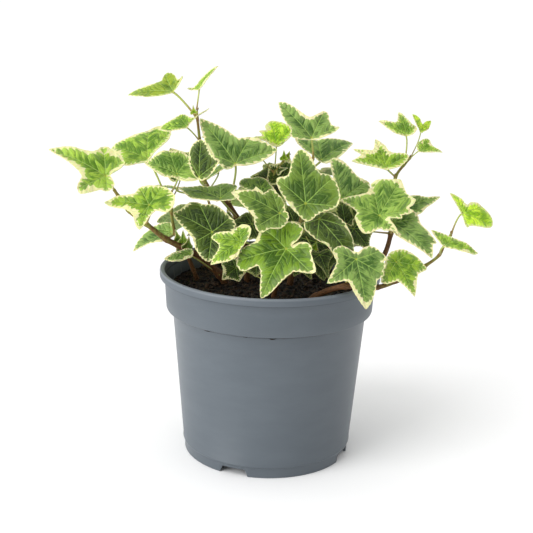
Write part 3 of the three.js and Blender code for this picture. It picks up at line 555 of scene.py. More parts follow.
def share(name, description, value):
    """A property that is a plain share or strength."""
    return bpy.props.FloatProperty(name=name, description=description, default=value, min=0)


def count(name, description, value):
    """A property that counts things."""
    return bpy.props.IntProperty(name=name, description=description, default=value, min=1)


class PotSettings(bpy.types.PropertyGroup):
    """The pot's size, its edges and the colours of its plastic"""
    height: length("Height", "Height of the pot", POT_BOX[1].z - POT_BOX[0].z)
    radius: length("Rim radius", "Outer radius of the rim", POT_BOX[1].x)
    edge: length("Edge", "Rounding of the moulded edges", 0.2 * MM)
    plastic: colour("Plastic", "Colour of the pot", (85, 93, 100))
    plastic_pale: colour("Pale plastic", "Colour where the plastic has flowed or rubbed", (90, 98, 105))
    # The film's colour also paints reflections on the wall inside the rim.
    film_and_sheen: colour("Film and sheen", "Colour of the film dried inside the rim", (150, 150, 135))


class SoilSettings(bpy.types.PropertyGroup):
    """The soil's lumps, its loose bits and its colours"""
    lump: length("Lumps", "Height of the lumps of the soil's surface", 1.9 * MM)
    crumbs: count("Crumbs", "Number of loose crumbs", 2800)
    crumb: length("Crumb size", "Mean radius of a crumb", 0.62 * MM)
    fibres: count("Fibres", "Number of loose fibres", 130)
    peat: colour("Peat", "Colour of the damp peat", (9, 6, 4))
    peat_light: colour("Dry peat", "Colour of the drier crumbs", (84, 62, 42))
    grit: colour("Grit", "Colour of the palest bits", (176, 160, 132))


class VineSettings(bpy.types.PropertyGroup):
    """The shape of the vines and the colours of their wood"""
    swelling: share("Swelling", "How much thicker a vine is at a node", 0.32)
    taper: share("Taper", "How much thinner the last stretch of a vine gets", 0.15)
    crook: length("Crook", "How far a vine wanders from a smooth line", 0.35 * MM)
    bark: colour("Bark", "Colour of the old wood", (112, 74, 36))
    bark_dark: colour("Dark bark", "Colour in the bark's furrows", (68, 42, 20))
    green: colour("Green wood", "Colour of the young wood", (136, 138, 62))
    red: colour("Red wood", "Colour that flushes the young wood", (128, 86, 46))


class LeafSettings(bpy.types.PropertyGroup):
    """The shape of the blades and stalks, and their colours"""
    thickness: length("Thickness", "Thickness of a blade", 0.42 * MM)
    fold: length("Fold", "How far a blade rises beside its veins", 1.1 * MM)
    ruffle: length("Ruffle", "How far the edge waves up and down", 0.65 * MM)
    teeth: length("Teeth", "How far the edge waves in and out", 0.3 * MM)
    stalk: length("Stalk", "Radius of a stalk", 0.7 * MM)
    green_dark: colour("Dark green", "Darker colour of a green leaf", (50, 90, 3))
    green: colour("Green", "Lighter colour of a green leaf", (115, 156, 28))
    grey_dark: colour("Dark grey-green", "Darker colour of a grey-green leaf", (62, 98, 38))
    grey: colour("Grey-green", "Lighter colour of a grey-green leaf", (138, 166, 94))
    young_dark: colour("Dark young green", "Darker colour of a young leaf", (108, 148, 3))
    young: colour("Young green", "Lighter colour of a young leaf", (180, 206, 52))
    pale: colour("Pale green", "Colour beside the margin and of the underside", (176, 198, 124))
    cream: colour("Cream", "Colour of the margin", (236, 230, 176))
    vein: colour("Vein", "Colour of the veins", (158, 192, 92))
    junction: colour("Junction", "Colour where the veins meet", (186, 190, 50))
    stalk_green: colour("Stalk", "Colour of a stalk by its blade", (172, 180, 92))
    stalk_red: colour("Stalk foot", "Colour of a stalk by its vine", (146, 116, 66))


class StageSettings(bpy.types.PropertyGroup):
    """The floor and the lights"""
    floor: colour("Floor", "Colour of the floor", (253, 253, 253))
    sky: share("Sky", "Strength of the light from all around", 1.0)
    front: share("Front", "Share of that light that comes from the camera's side", 0.38)
    sun: share("Key", "Strength of the key light", 0.9)
    fill: share("Fill", "Power of the soft light from the left, in watts", 9.5)


SETTINGS = {
    "ivy_pot": PotSettings,
    "ivy_soil": SoilSettings,
    "ivy_vine": VineSettings,
    "ivy_leaf": LeafSettings,
    "ivy_stage": StageSettings,
}


class Wire:
    """A socket of a material's graph. An operator on it adds the Math node that it stands for."""

    def __init__(self, graph, socket):
        self.graph = graph
        self.socket = socket

    def math(self, operation, *values):
        """A Math node with these inputs."""
        return self.graph.add("Math", {"operation": operation}, dict(enumerate(values)))

    def __add__(self, other):
        return self.math("ADD", self, other)

    __radd__ = __add__

    def __sub__(self, other):
        return self.math("SUBTRACT", self, other)

    def __rsub__(self, other):
        return self.math("SUBTRACT", other, self)

    def __mul__(self, other):
        return self.math("MULTIPLY", self, other)

    __rmul__ = __mul__

    def __truediv__(self, other):
        return self.math("DIVIDE", self, other)


class Graph:
    """The nodes of one material or of the world. Varying values reach its shader through set."""

    def __init__(self, owner, shader):
        owner.use_nodes = True
        self.owner = owner
        self.tree = owner.node_tree
        self.shader = self.tree.nodes[shader]

    def put(self, socket, value):
        """Wires a value to a socket, or sets it there if it is plain."""
        if isinstance(value, Wire):
            self.tree.links.new(value.socket, socket)
        else:
            socket.default_value = value

    def add(self, kind, settings=None, values=None, output=0):
        """Any node: its type, its own settings, the values or wires of its sockets, and its output."""
        node = self.tree.nodes.new("ShaderNode" + kind)
        for name, value in (settings or {}).items():
            setattr(node, name, value)
        for name, value in (values or {}).items():
            self.put(node.inputs[name], value)
        return Wire(self, node.outputs[output])

    def set(self, **values):
        """Puts values into the shader's sockets, and gives back the material or world."""
        for socket, value in values.items():
            self.put(self.shader.inputs[socket.replace("_", " ")], value)
        return self.owner

    def place(self):
        """The place on the object, in metres."""
        return self.add("TexCoord", output="Object")

    def attribute(self, name, output="Fac"):
        """What a piece's vertices hold under a name."""
        return self.add("Attribute", {"attribute_name": name}, output=output)

    def parts(self, vector):
        """The three numbers of a vector."""
        split = self.add("SeparateXYZ", values={0: vector}).socket.node
        return [Wire(self, socket) for socket in split.outputs]

    def vector(self, x, y, z):
        """A vector of three numbers."""
        return self.add("CombineXYZ", values={0: x, 1: y, 2: z})

    def scaled(self, vector, x, y, z):
        """A vector stretched along each axis."""
        return self.add("VectorMath", {"operation": "MULTIPLY"}, {0: vector, 1: (x, y, z)})

    def noise(self, vector, scale, detail=2.0, rough=0.5):
        """Smooth noise from 0 to 1."""
        values = {"Vector": vector, "Scale": scale, "Detail": detail, "Roughness": rough}
        return self.add("TexNoise", values=values)

    def step(self, value, low, high):
        """0 where the value is at low or under it, 1 at high or over it, and smooth between."""
        settings = {"interpolation_type": "SMOOTHSTEP"}
        return self.add("MapRange", settings, {"Value": value, "From Min": low, "From Max": high})

    def mix(self, factor, first, second):
        """A colour between two: the node takes them at its sockets 6 and 7, and gives one at 2."""
        node = self.add("Mix", {"data_type": "RGBA"}).socket.node
        self.put(node.inputs[0], factor)
        self.put(node.inputs[6], first)
        self.put(node.inputs[7], second)
        return Wire(self, node.outputs[2])

    def bump(self, height, metres, strength=1.0):
        """A normal that follows a height."""
        return self.add("Bump", values={"Height": height, "Distance": metres, "Strength": strength})


def new_material(name, **constants):
    """The graph of a new material, with its shader's constants set."""
    graph = Graph(bpy.data.materials.new(name), "Principled BSDF")
    graph.set(**constants)
    return graph


def plastic_material(settings):
    """Matt moulded plastic with faint flow marks and rings on the rim, a painted highlight on the rim's
    top, painted shadows under the collar and the lip, and dried film inside with painted reflections.
    """
    g = new_material("pot_plastic", Specular_IOR_Level=0.42)
    place = g.place()
    x, y, z = g.parts(place)
    square = x * x + y * y
    radius = square.math("SQRT", square)
    flow = g.noise(g.scaled(place, 1, 1, 3.2), 34, 4, 0.6)
    rub = g.noise(place, 260, 3, 0.7)
    base = g.mix(g.step(flow, 0.3, 0.8), settings.plastic, settings.plastic_pale)
    inside = 1 - g.step(radius, *INNER_WALL)
    above = g.step(z, *FILM_AND_SHEEN_FOOT)
    # Pale streaks inside the rim: dried film, and painted reflections on the wall's inside.
    streaks = g.noise(g.scaled(place, 90, 420, 60), 1, 3, 0.6)
    film = inside * above * g.step(streaks, 0.56, 0.7) * 0.5
    base = g.mix(inside * above * 0.7, base, paint(28, 32, 34))
    # Painted shadows: dark bands just under the collar and under the lip.
    collar_shadow, lip_shadow = (g.step(z, *begin) - g.step(z, *end) for begin, end in SHADOWS)
    base = g.mix((collar_shadow + lip_shadow) * 0.8, base, paint(42, 45, 50))
    base = g.mix(film, base, settings.film_and_sheen)
    grain = g.noise(place, 2600, 2, 0.5)
    ring_phase = radius * 9000
    rings = ring_phase.math("SINE", ring_phase)
    on_rim = g.step(z, *RIM_TOP)
    lathe_phase = z * 5200 + g.noise(place, 22) * 3
    lathe = lathe_phase.math("SINE", lathe_phase)
    # The rim's top is painted lighter: a painted highlight.
    base = g.mix(on_rim * 0.25, base, paint(150, 156, 162))
    height = grain * 0.4 + rings * on_rim * 0.5 + lathe * 0.04
    rough = 0.49 + rub * 0.06 - inside * 0.14 - on_rim * 0.12
    return g.set(Base_Color=base, Roughness=rough, Normal=g.bump(height, 0.05 * MM, 0.5))


def soil_material(settings):
    """Damp peat: dark, with lighter drier crumbs and fine fibres."""
    g = new_material("peat", Specular_IOR_Level=0.25)
    place = g.place()
    grain = g.noise(place, 900, 4, 0.7)
    lumps = g.noise(place, 190, 4, 0.6)
    cells = g.add("TexVoronoi", values={"Vector": place, "Scale": 620.0}, output="Color")
    tone = g.parts(cells)[0]
    pale = g.attribute("pale")
    base = g.mix(g.step(lumps + grain * 0.5, 0.72, 1.1), settings.peat, settings.peat_light)
    base = g.mix(g.step(tone, 0.78, 0.9) * 0.5, base, settings.peat_light)
    base = g.mix(g.step(pale, 0.5, 0.95) * 0.7, base, settings.peat_light)
    base = g.mix(g.step(pale, 0.93, 0.97), base, settings.grit)
    rough = 0.55 + grain * 0.4
    height = grain * 0.7 + tone * 0.5 + lumps
    return g.set(Base_Color=base, Roughness=rough, Normal=g.bump(height, 0.9 * MM, 0.9))


def bark_material(settings):
    """Thin bark, furrowed along the vine, which turns green and reddish where the wood is young."""
    g = new_material("bark", Specular_IOR_Level=0.35)
    grain = g.attribute("grain", "Vector")
    age = g.attribute("age")
    place = g.place()
    furrows = g.noise(grain, 1.6, 4, 0.65)
    patches = g.noise(place, 240, 3, 0.6)
    old = g.mix(g.step(furrows, 0.38, 0.62), settings.bark_dark, settings.bark)
    fresh = g.mix(g.step(patches, 0.4, 0.7), settings.green, settings.red)
    base = g.mix(g.step(age + (patches - 0.5) * 0.5, 0.3, 0.62), fresh, old)
    speck = g.step(g.noise(place, 1500, 1), 0.66, 0.72)
    base = g.mix(speck * 0.4, base, paint(170, 140, 100))
    rough = 0.5 + furrows * 0.3
    height = furrows * (0.25 + age) + speck * 0.3
    return g.set(Base_Color=base, Roughness=rough, Normal=g.bump(height, 0.35 * MM, 0.8))


def stalk_material(settings):
    """A smooth stalk, green by its blade and brownish by its vine."""
    g = new_material("stalk", Specular_IOR_Level=0.4)
    grain = g.attribute("grain", "Vector")
    along = g.attribute("age")
    lines = g.noise(grain, 2.2, 2, 0.5)
    red = 1 - g.step(along + (lines - 0.5) * 0.5, 0.0, 0.45)
    base = g.mix(red, settings.stalk_green, settings.stalk_red)
    base = g.mix(g.step(lines, 0.45, 0.75) * 0.35, base, settings.vein)
    return g.set(Base_Color=base, Roughness=0.42 + lines * 0.15, Normal=g.bump(lines, 0.12 * MM, 0.6))


def blade_material(settings, under):
    """A variegated blade: tones that change at each side vein, inside a scalloped cream margin.

    Its numbers are millimetres of a blade 30 mm long: the attributes are scaled to that.
    """
    g = new_material("blade_under" if under else "blade", Specular_IOR_Level=0.28,
        Subsurface_Weight=0.3, Subsurface_Radius=(0.5, 1.0, 0.2), Subsurface_Scale=0.5 * MM)
    flat = g.attribute("flat", "Vector")
    x, y, seed = g.parts(flat)
    along, across, edge = g.parts(g.attribute("vein", "Vector"))
    margin = g.attribute("margin")
    wander = g.noise(flat, 0.2, 2) - 0.5
    branch = along - across * SIDE_VEIN_SLANT + wander * 4
    cell = branch / SIDE_VEIN_GAP
    lane = cell.math("FRACT", cell)
    number = cell.math("FLOOR", cell)
    centred = lane - 0.5
    off_centre = centred.math("ABSOLUTE", centred)
    beside = (0.5 - off_centre) * SIDE_VEIN_GAP

    sector = g.noise(g.vector(number * 2.7 + seed, x * 0.09, y * 0.09), 1, 1) - 0.5
    streak = g.noise(g.vector(branch * 0.8, across * 0.17, seed + 3.7), 1, 3, 0.6) - 0.5
    fine = g.noise(g.vector(branch * 2.1, across * 0.4, seed + 9.1), 1, 2) - 0.5
    blotch = g.noise(g.scaled(flat, 1, 1, 2), 0.17, 3, 0.6) - 0.5
    # Each stretch between side veins has a tone of its own; centred adds a slight lightening across it, a
    # painted shading of its bulge.
    tone = sector * 1.2 + streak * 1.2 + fine * 0.6 + blotch + centred * 0.12
    inner = g.step(edge, 1, 8)
    level = tone + 0.64 - inner * 0.27
    base = g.mix(g.step(level, 0.28, 0.74), g.attribute("shade", "Vector"), g.attribute("tint", "Vector"))
    beside_margin = 1 - g.step(edge + tone * 6, 0.8, 3.4 + margin)
    base = g.mix(beside_margin * 0.22, base, settings.pale)

    main = 1 - g.step(across, 0.1, 0.42 - g.step(along, 0, 32) * 0.2)
    fading = 1 - g.step(across, 4, 10)
    side = (1 - g.step(beside, 0.05, 0.3)) * g.step(edge, 0.4, 2.5) * fading
    mesh = g.add("TexVoronoi", {"feature": "DISTANCE_TO_EDGE"}, {"Vector": flat, "Scale": 0.5})
    net = (1 - g.step(mesh, 0.0, 0.1)) * g.step(edge, 0.3, 1.5)
    base = g.mix(side * 0.3 + net * 0.1, base, settings.vein)
    base = g.mix(main * 0.8, base, settings.vein)

    scallop = g.step(off_centre, 0.12, 0.5)
    broad = g.step(g.noise(g.scaled(flat, 1, 1, 3), 0.085, 1), 0.54, 0.72)
    fringe = g.noise(flat, 1.1, 3, 0.65) - 0.5
    width = margin * (0.5 + scallop * 0.8 + broad * 1.7)
    cream = g.step(width + fringe * 1.1 - edge, -0.2, 0.25)
    # The margin's colour, painted darker and yellower on the darkest leaves as painted shade.
    base = g.mix(cream * 0.95, base, g.attribute("rim", "Vector"))
    reach = along * along + across * across
    base = g.mix((1 - g.step(reach, 0.1, 1.0)) * 0.6, base, settings.junction)
    if under:
        base = g.mix(0.45, base, settings.pale)
    speck = g.noise(flat, 5, 2)
    rough = 0.4 + speck * 0.14 + cream * 0.06 + (0.16 if under else 0)
    groove = main * 0.4 + side * 0.15 + net * 0.04
    quilt = g.step(beside, 0, 1.5) * fading * 0.4 + g.step(across, 0, 1.8) * 0.35 + streak * 0.8
    height = speck * 0.02 + quilt + (groove if under else 0 - groove)
    return g.set(Base_Color=base, Roughness=rough, Normal=g.bump(height, 1.0 * MM, 0.75))


def start_clean():
    """Deselects everything, because edit mode takes in whatever else is selected."""
    bpy.ops.object.select_all(action="DESELECT")


def pick(piece):
    """Selects one piece alone and makes it the active one."""
    start_clean()
    bpy.context.view_layer.objects.active = piece
    piece.select_set(True)


def edit(piece):
    """Opens one piece in edit mode with all of it selected."""
    pick(piece)
    bpy.ops.object.mode_set(mode="EDIT")
    bpy.ops.mesh.select_all(action="SELECT")


def close_edit():
    """Turns every face outward and leaves edit mode."""
    bpy.ops.mesh.select_all(action="SELECT")
    bpy.ops.mesh.normals_make_consistent(inside=False)
    bpy.ops.object.mode_set(mode="OBJECT")


def copy_of(template, name):
    """A copy of a template, with a mesh of its own."""
    piece = template.copy()
    piece.data = template.data.copy()
    piece.name = name
    bpy.context.collection.objects.link(piece)
    return piece


def discard(*pieces):
    """Removes templates and cutters that have done their work."""
    for piece in pieces:
        bpy.data.objects.remove(piece)


def joined(pieces):
    """Several pieces made into the first one."""
    start_clean()
    for piece in pieces:
        piece.select_set(True)
    bpy.context.view_layer.objects.active = pieces[0]
    bpy.ops.object.join()
    return pieces[0]


def apply_modifier(piece, kind, **settings):
    """Adds a modifier and applies it at once."""
    pick(piece)
    modifier = piece.modifiers.new(kind.title(), kind)
    for name, value in settings.items():
        setattr(modifier, name, value)
    bpy.ops.object.modifier_apply(modifier=modifier.name)


def smooth(piece, degrees):
    """Smooth shading, except over edges sharper than the angle."""
    pick(piece)
    bpy.ops.object.shade_smooth_by_angle(angle=math.radians(degrees))


def places_of(piece):
    """The places of a piece's vertices, one row each."""
    places = np.empty(len(piece.data.vertices) * 3, dtype=np.float32)
    piece.data.vertices.foreach_get("co", places)
    return places.reshape(-1, 3).astype(float)


def put_places(piece, millimetres):
    """Moves a piece's vertices to places in millimetres."""
    piece.data.vertices.foreach_set("co", (millimetres * MM).astype(np.float32).ravel())
    piece.data.update()


def put_attribute(piece, name, values):
    """A number, or three, for each vertex, for the materials to read."""
    plain = values.ndim == 1
    layer = piece.data.attributes.new(name, "FLOAT" if plain else "FLOAT_VECTOR", "POINT")
    layer.data.foreach_set("value" if plain else "vector", values.astype(np.float32).ravel())


def waves(places, scale, seed):
    """Smooth noise at each place, from about -1 to 1."""
    return np.array([noise.noise(Vector(place)) for place in places * scale + seed])


def model_disc(sides, shares):
    """A flat disc of rings, the outer one at a radius of 1, facing up."""
    start_clean()
    bpy.ops.mesh.primitive_circle_add(vertices=sides, radius=1)
    disc = bpy.context.object
    edit(disc)
    for outer, inner in zip(shares, shares[1:]):
        bpy.ops.mesh.extrude_region_move()
        bpy.ops.transform.resize(value=(inner / outer, inner / outer, 1))
    bpy.ops.mesh.extrude_region_move()
    bpy.ops.mesh.merge(type="CENTER")
    close_edit()
    if disc.data.polygons[0].normal.z < 0:
        edit(disc)
        bpy.ops.mesh.flip_normals()
        bpy.ops.object.mode_set(mode="OBJECT")
    return disc


def model_tube(sides, rings):
    """A closed tube around the z axis with a radius of 1 and its rings 1 apart."""
    start_clean()
    bpy.ops.mesh.primitive_circle_add(vertices=sides, radius=1, fill_type="NGON")
    tube = bpy.context.object
    edit(tube)
    for _ in range(rings - 1):
        bpy.ops.mesh.extrude_region_move(TRANSFORM_OT_translate={"value": (0, 0, 1)})
    close_edit()
    return tube


def lay_tube(tube, centres, radii, ages, seed):
    """Lays a copy of a tube template along a line of centres, and gives its bark a grain."""
    template = places_of(tube)
    ring = np.rint(template[:, 2]).astype(int)
    ahead = np.gradient(centres, axis=0)
    ahead /= np.linalg.norm(ahead, axis=1)[:, None]
    side = unit(np.cross(ahead[0], (0.3, 0.9, 0.2)))
    sides = []
    for direction in ahead:
        side = unit(side - direction * (side @ direction))
        sides.append(side)
    sides = np.array(sides)
    others = np.cross(ahead, sides)
    angle = np.arctan2(template[:, 1], template[:, 0])
    radius = radii[ring]
    across = (np.cos(angle) * radius)[:, None] * sides[ring]
    across += (np.sin(angle) * radius)[:, None] * others[ring]
    put_places(tube, centres[ring] + across)
    run = distances_along(centres)
    round_about, along = 1.4, 0.22
    grain = np.column_stack([
        np.cos(angle) * radius * round_about, np.sin(angle) * radius * round_about, run[ring] * along])
    put_attribute(tube, "grain", grain + seed)
    put_attribute(tube, "age", ages[ring])


def catmull_rom(points, steps):
    """Points evenly along the smooth line through the given ones, and the share of it at each one."""
    points = [np.array(place, dtype=float) for place in points]
    padded = [2 * points[0] - points[1], *points, 2 * points[-1] - points[-2]]
    fine = []
    shares = np.linspace(0, 1, FINE_STEPS, endpoint=False)[:, None]
    for before, start, end, after in zip(padded, padded[1:], padded[2:], padded[3:]):
        near = math.sqrt(np.linalg.norm(start - before))
        gap = math.sqrt(np.linalg.norm(end - start))
        far = math.sqrt(np.linalg.norm(after - end))
        leave = (start - before) / near - (end - before) / (near + gap) + (end - start) / gap
        arrive = (end - start) / gap - (after - start) / (gap + far) + (after - end) / far
        fine.append(hermite(start, end, leave * gap, arrive * gap, shares))
    fine = np.concatenate([*fine, [points[-1]]])
    run = distances_along(fine)
    even = np.linspace(0, run[-1], steps)
    line = np.stack([np.interp(even, run, fine[:, axis]) for axis in range(3)], axis=1)
    return line, run[::FINE_STEPS], run[-1]


def distances_along(points):
    """How far along a line each of its points is."""
    return np.concatenate([[0], np.cumsum(np.linalg.norm(np.diff(points, axis=0), axis=1))])


def hermite(start, end, leave, arrive, shares):
    """Points between two places, on the curve that leaves and arrives along the given tangents."""
    s = shares
    keep = (2 * s**3 - 3 * s**2 + 1) * start + (3 * s**2 - 2 * s**3) * end
    return keep + (s**3 - 2 * s**2 + s) * leave + (s**3 - s**2) * arrive


def turned(vector, degrees):
    """A flat vector turned counterclockwise."""
    angle = math.radians(degrees)
    cosine, sine = math.cos(angle), math.sin(angle)
    x, y = vector
    return np.array([x * cosine - y * sine, x * sine + y * cosine])


def blade_outline(growth, reach_of_tip, seed, spokes):
    """The blade's edge, with one point for each spoke, and the angles of its main veins."""
    corners = [(0, reach_of_tip), *growth["edge"]]
    number = len(corners)
    places = [np.array([math.cos(math.radians(a)), math.sin(math.radians(a))]) * r for a, r in corners]
    reaches = [reach for _, reach in corners]
    chords = [places[(i + 1) % number] - places[i] for i in range(number)]
    runs = np.array([np.linalg.norm(chord) for chord in chords])
    counts = 2 + np.floor(runs / runs.sum() * (spokes - 2 * number)).astype(int)
    for i in np.argsort(-runs)[: spokes - counts.sum()]:
        counts[i] += 1

    def is_tip(i):
        """Whether a corner reaches farther than both its neighbours."""
        return reaches[i] > reaches[i - 1] and reaches[i] > reaches[(i + 1) % number]

    def is_notch(i):
        """Whether a corner reaches less far than both its neighbours."""
        return reaches[i] < reaches[i - 1] and reaches[i] < reaches[(i + 1) % number]

    def tangent(i, chord, turn):
        """The way that the edge takes at a corner: turned off the chord at a tip, and smooth elsewhere."""
        blunt = TIP_TURN + LOBE_TURN * (1 - reaches[i] / reach_of_tip)
        smooth_way = chords[i - 1] / runs[i - 1] + chords[i] / runs[i]
        smooth_way *= np.linalg.norm(chord) / np.linalg.norm(smooth_way)
        if is_tip(i):
            return turned(chord, turn * blunt)
        if is_notch(i):
            return chord * 0.45 + smooth_way * 0.55
        return smooth_way

    edge = []
    for i in range(number):
        after = (i + 1) % number
        shares = np.linspace(0, 1, counts[i], endpoint=False)[:, None]
        leave = tangent(i, chords[i], -1)
        arrive = tangent(after, chords[i], 1)
        edge.append(hermite(places[i], places[after], leave, arrive, shares))
    edge = np.concatenate(edge)
    tips = [i for i in range(number) if is_tip(i)]
    from_tip = np.min([np.linalg.norm(edge - places[i], axis=1) for i in tips], axis=0)
    outward = edge / np.linalg.norm(edge, axis=1)[:, None]
    veins = main_veins(edge)
    size = reach_of_tip / BLADE_LENGTH
    along, across = beside_veins(edge, veins)
    lane = (along - SIDE_VEIN_SLANT * across) / size / SIDE_VEIN_GAP % 1
    flat = np.column_stack([edge, np.zeros(spokes)])
    wave = waves(flat, 0.13, seed) * 0.6 + waves(flat, 0.6 / size, seed + 5) * 0.5
    wave += 1.4 * (1 - np.abs(2 * lane - 1)) - 0.7
    wave *= size * np.clip(from_tip / 2.5, 0.2, 1)
    return edge + outward * wave[:, None] * bpy.context.scene.ivy_leaf.teeth / MM, veins


def main_veins(edge):
    """The angles of the main veins: one to the tip, and two to each side where it reaches far."""
    angle = np.degrees(np.arctan2(edge[:, 1], edge[:, 0]))
    reach = np.linalg.norm(edge, axis=1)
    veins = [0.0]
    for usual in (-112, -55, 55, 112):
        apart = (angle - usual + 180) % 360 - 180
        fit = reach * (1 - 0.4 * (apart / 30) ** 2)
        veins.append(angle[np.where(np.abs(apart) < 30, fit, 0).argmax()])
    return np.radians(veins)


def beside_veins(flat, veins):
    """How far each flat place is along the nearest main vein, and beside it."""
    reach = np.linalg.norm(flat, axis=1)
    angle = np.arctan2(flat[:, 1], flat[:, 0])
    apart = np.abs((angle[:, None] - veins[None, :] + math.pi) % (2 * math.pi) - math.pi).min(axis=1)
    return reach * np.cos(apart), reach * np.sin(np.minimum(apart, math.pi / 2))


def distance_to_edge(places, edge):
    """How far each flat place is from the blade's edge."""
    ends = np.roll(edge, -1, axis=0)
    way = ends - edge
    span = np.maximum((way**2).sum(axis=1), 1e-9)
    offset = places[:, None, :] - edge[None, :, :]
    share_along = np.clip((offset * way[None]).sum(axis=2) / span, 0, 1)
    return np.linalg.norm(offset - share_along[..., None] * way[None], axis=2).min(axis=1)


def shape_blade(blade, growth, seed, settings):
    """Gives a copy of the disc the shape of one leaf's blade, and what its material reads."""
    reach_of_tip = np.linalg.norm(np.subtract(growth["tip"], growth["seat"]))
    size = reach_of_tip / BLADE_LENGTH
    template = places_of(blade)
    out = np.linalg.norm(template[:, :2], axis=1)
    spokes = np.count_nonzero(out > 0.999)
    edge, veins = blade_outline(growth, reach_of_tip, seed, spokes)
    turn = np.arctan2(template[:, 1], template[:, 0]) / (2 * math.pi)
    spoke = np.rint(turn * spokes).astype(int) % spokes
    flat = edge[spoke] * out[:, None]
    reach = np.linalg.norm(flat, axis=1)
    along, across = beside_veins(flat, veins)
    inward = distance_to_edge(flat, edge)

    solid = np.column_stack([flat, np.full(len(flat), seed)])
    bend = (4 * out * (1 - out) * 0.9 * size)[:, None]
    drift = np.column_stack([waves(solid, 0.045 / size, 2.1), waves(solid, 0.045 / size, 7.7)])
    fold = settings.fold / MM * size * (1 - np.exp(-across / (2.6 * size)))
    ruffle = settings.ruffle / MM * size * out**2.5 * waves(solid, 0.13 / size, 3.3) * 1.6
    height = blade_rise(reach, reach_of_tip) + fold * out * (1 - 0.55 * out) + ruffle
    height += 0.25 * size * waves(solid, 0.34 / size, 8.8) * out
    ahead, left, up = blade_axes(growth["seat"], growth["tip"], growth["face"])
    warped = flat + bend * drift
    places = np.array(growth["seat"]) + warped[:, :1] * ahead + warped[:, 1:] * left
    put_places(blade, places + (height + 0.15)[:, None] * up)

    put_attribute(blade, "flat", np.column_stack([flat / size, solid[:, 2]]))
    put_attribute(blade, "vein", np.column_stack([along, across, inward]) / size)
    shade, tint, rim = leaf_colours(growth["look"], settings)
    put_attribute(blade, "shade", np.tile(shade, (len(flat), 1)))
    put_attribute(blade, "tint", np.tile(tint, (len(flat), 1)))
    put_attribute(blade, "rim", np.tile(rim, (len(flat), 1)))
    put_attribute(blade, "margin", np.full(len(flat), growth["margin"] / size))


def leaf_colours(look, settings):
    """The darker and the lighter colour of a leaf's green, and the colour of its margin. The look's
    lightness scales them: partly the leaf's own and partly painted light and shade, which also darkens and
    yellows the margins of the darkest leaves.
    """
    grey, youth, light = LOOKS[look]
    colours = []
    for green, greyed, young in (
            (settings.green_dark, settings.grey_dark, settings.young_dark),
            (settings.green, settings.grey, settings.young)):
        grown = np.array(green)[:3] * (1 - grey) + np.array(greyed)[:3] * grey
        # The lightness paints light and shade into the leaf's colours, besides its own lightness.
        colours.append((grown * (1 - youth) + np.array(young)[:3] * youth) * light)
    # The margins of the darkest leaves share their painted shade: darker and yellower.
    dim = min(light * MARGIN_LIGHT, 1)
    young_share = 1 - dim + youth * MARGIN_YOUTH
    rim = np.array(settings.cream)[:3] * (1 - young_share) + np.array(settings.young)[:3] * young_share
    return *colours, rim * dim


def stalk_line(growth, joint, radius_there, steps):
    """The centres of a stalk, from inside the vine to the middle of its blade."""
    ahead, _, up = blade_axes(growth["seat"], growth["tip"], growth["face"])
    seat = np.array(growth["seat"], dtype=float)
    span = np.linalg.norm(seat - joint)
    offset = -(ahead * STALK_BACK + up * STALK_UNDER) * span
    home = unit(joint - seat)
    bend = seat + offset + home * max(-(offset @ home), 0)
    foot = joint + unit(bend - joint) * 0.5 * radius_there
    s = np.linspace(0, 1, steps)[:, None]
    end = seat + ahead * 0.6 - up * 0.15
    return (1 - s) ** 2 * foot + 2 * s * (1 - s) * bend + s**2 * end


def grow_leaf(name, growth, joint, radius_there, templates, materials, settings):
    """One leaf: its blade, solid and with an underside of its own, and its stalk."""
    seed = seed_of(name)
    disc, tube = templates
    blade = copy_of(disc, name)
    shape_blade(blade, growth, seed, settings)
    for material in materials:
        blade.data.materials.append(material)
    apply_modifier(blade, "SOLIDIFY", thickness=settings.thickness, offset=-1, material_offset=1)
    smooth(blade, 60)
    stalk = copy_of(tube, name + "_stalk")
    s = np.linspace(0, 1, STALK_RINGS)
    size = min(1.0, max(0.45, np.linalg.norm(np.subtract(growth["tip"], growth["seat"])) / 26))
    radii = settings.stalk / MM * size * (0.92 + 0.5 * np.exp(-((s / 0.06) ** 2)) + 0.2 * s**8)
    line = stalk_line(growth, joint, radius_there, STALK_RINGS)
    lay_tube(stalk, line, radii, s, seed)
    for material in materials:
        stalk.data.materials.append(material)
    for face in stalk.data.polygons:
        face.material_index = 2
    smooth(stalk, 70)
    return joined([blade, stalk])


def seed_of(name):
    """A number for a name, the same on every run."""
    return (sum(ord(letter) * (place + 3) for place, letter in enumerate(name)) % 97) * 1.37


def settle(piece, node=None):
    """Hands a piece over to the frame: puts it under the root body, and hides the node that it shows, if
    any.
    """
    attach(piece, "root")
    if node:
        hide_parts(node)


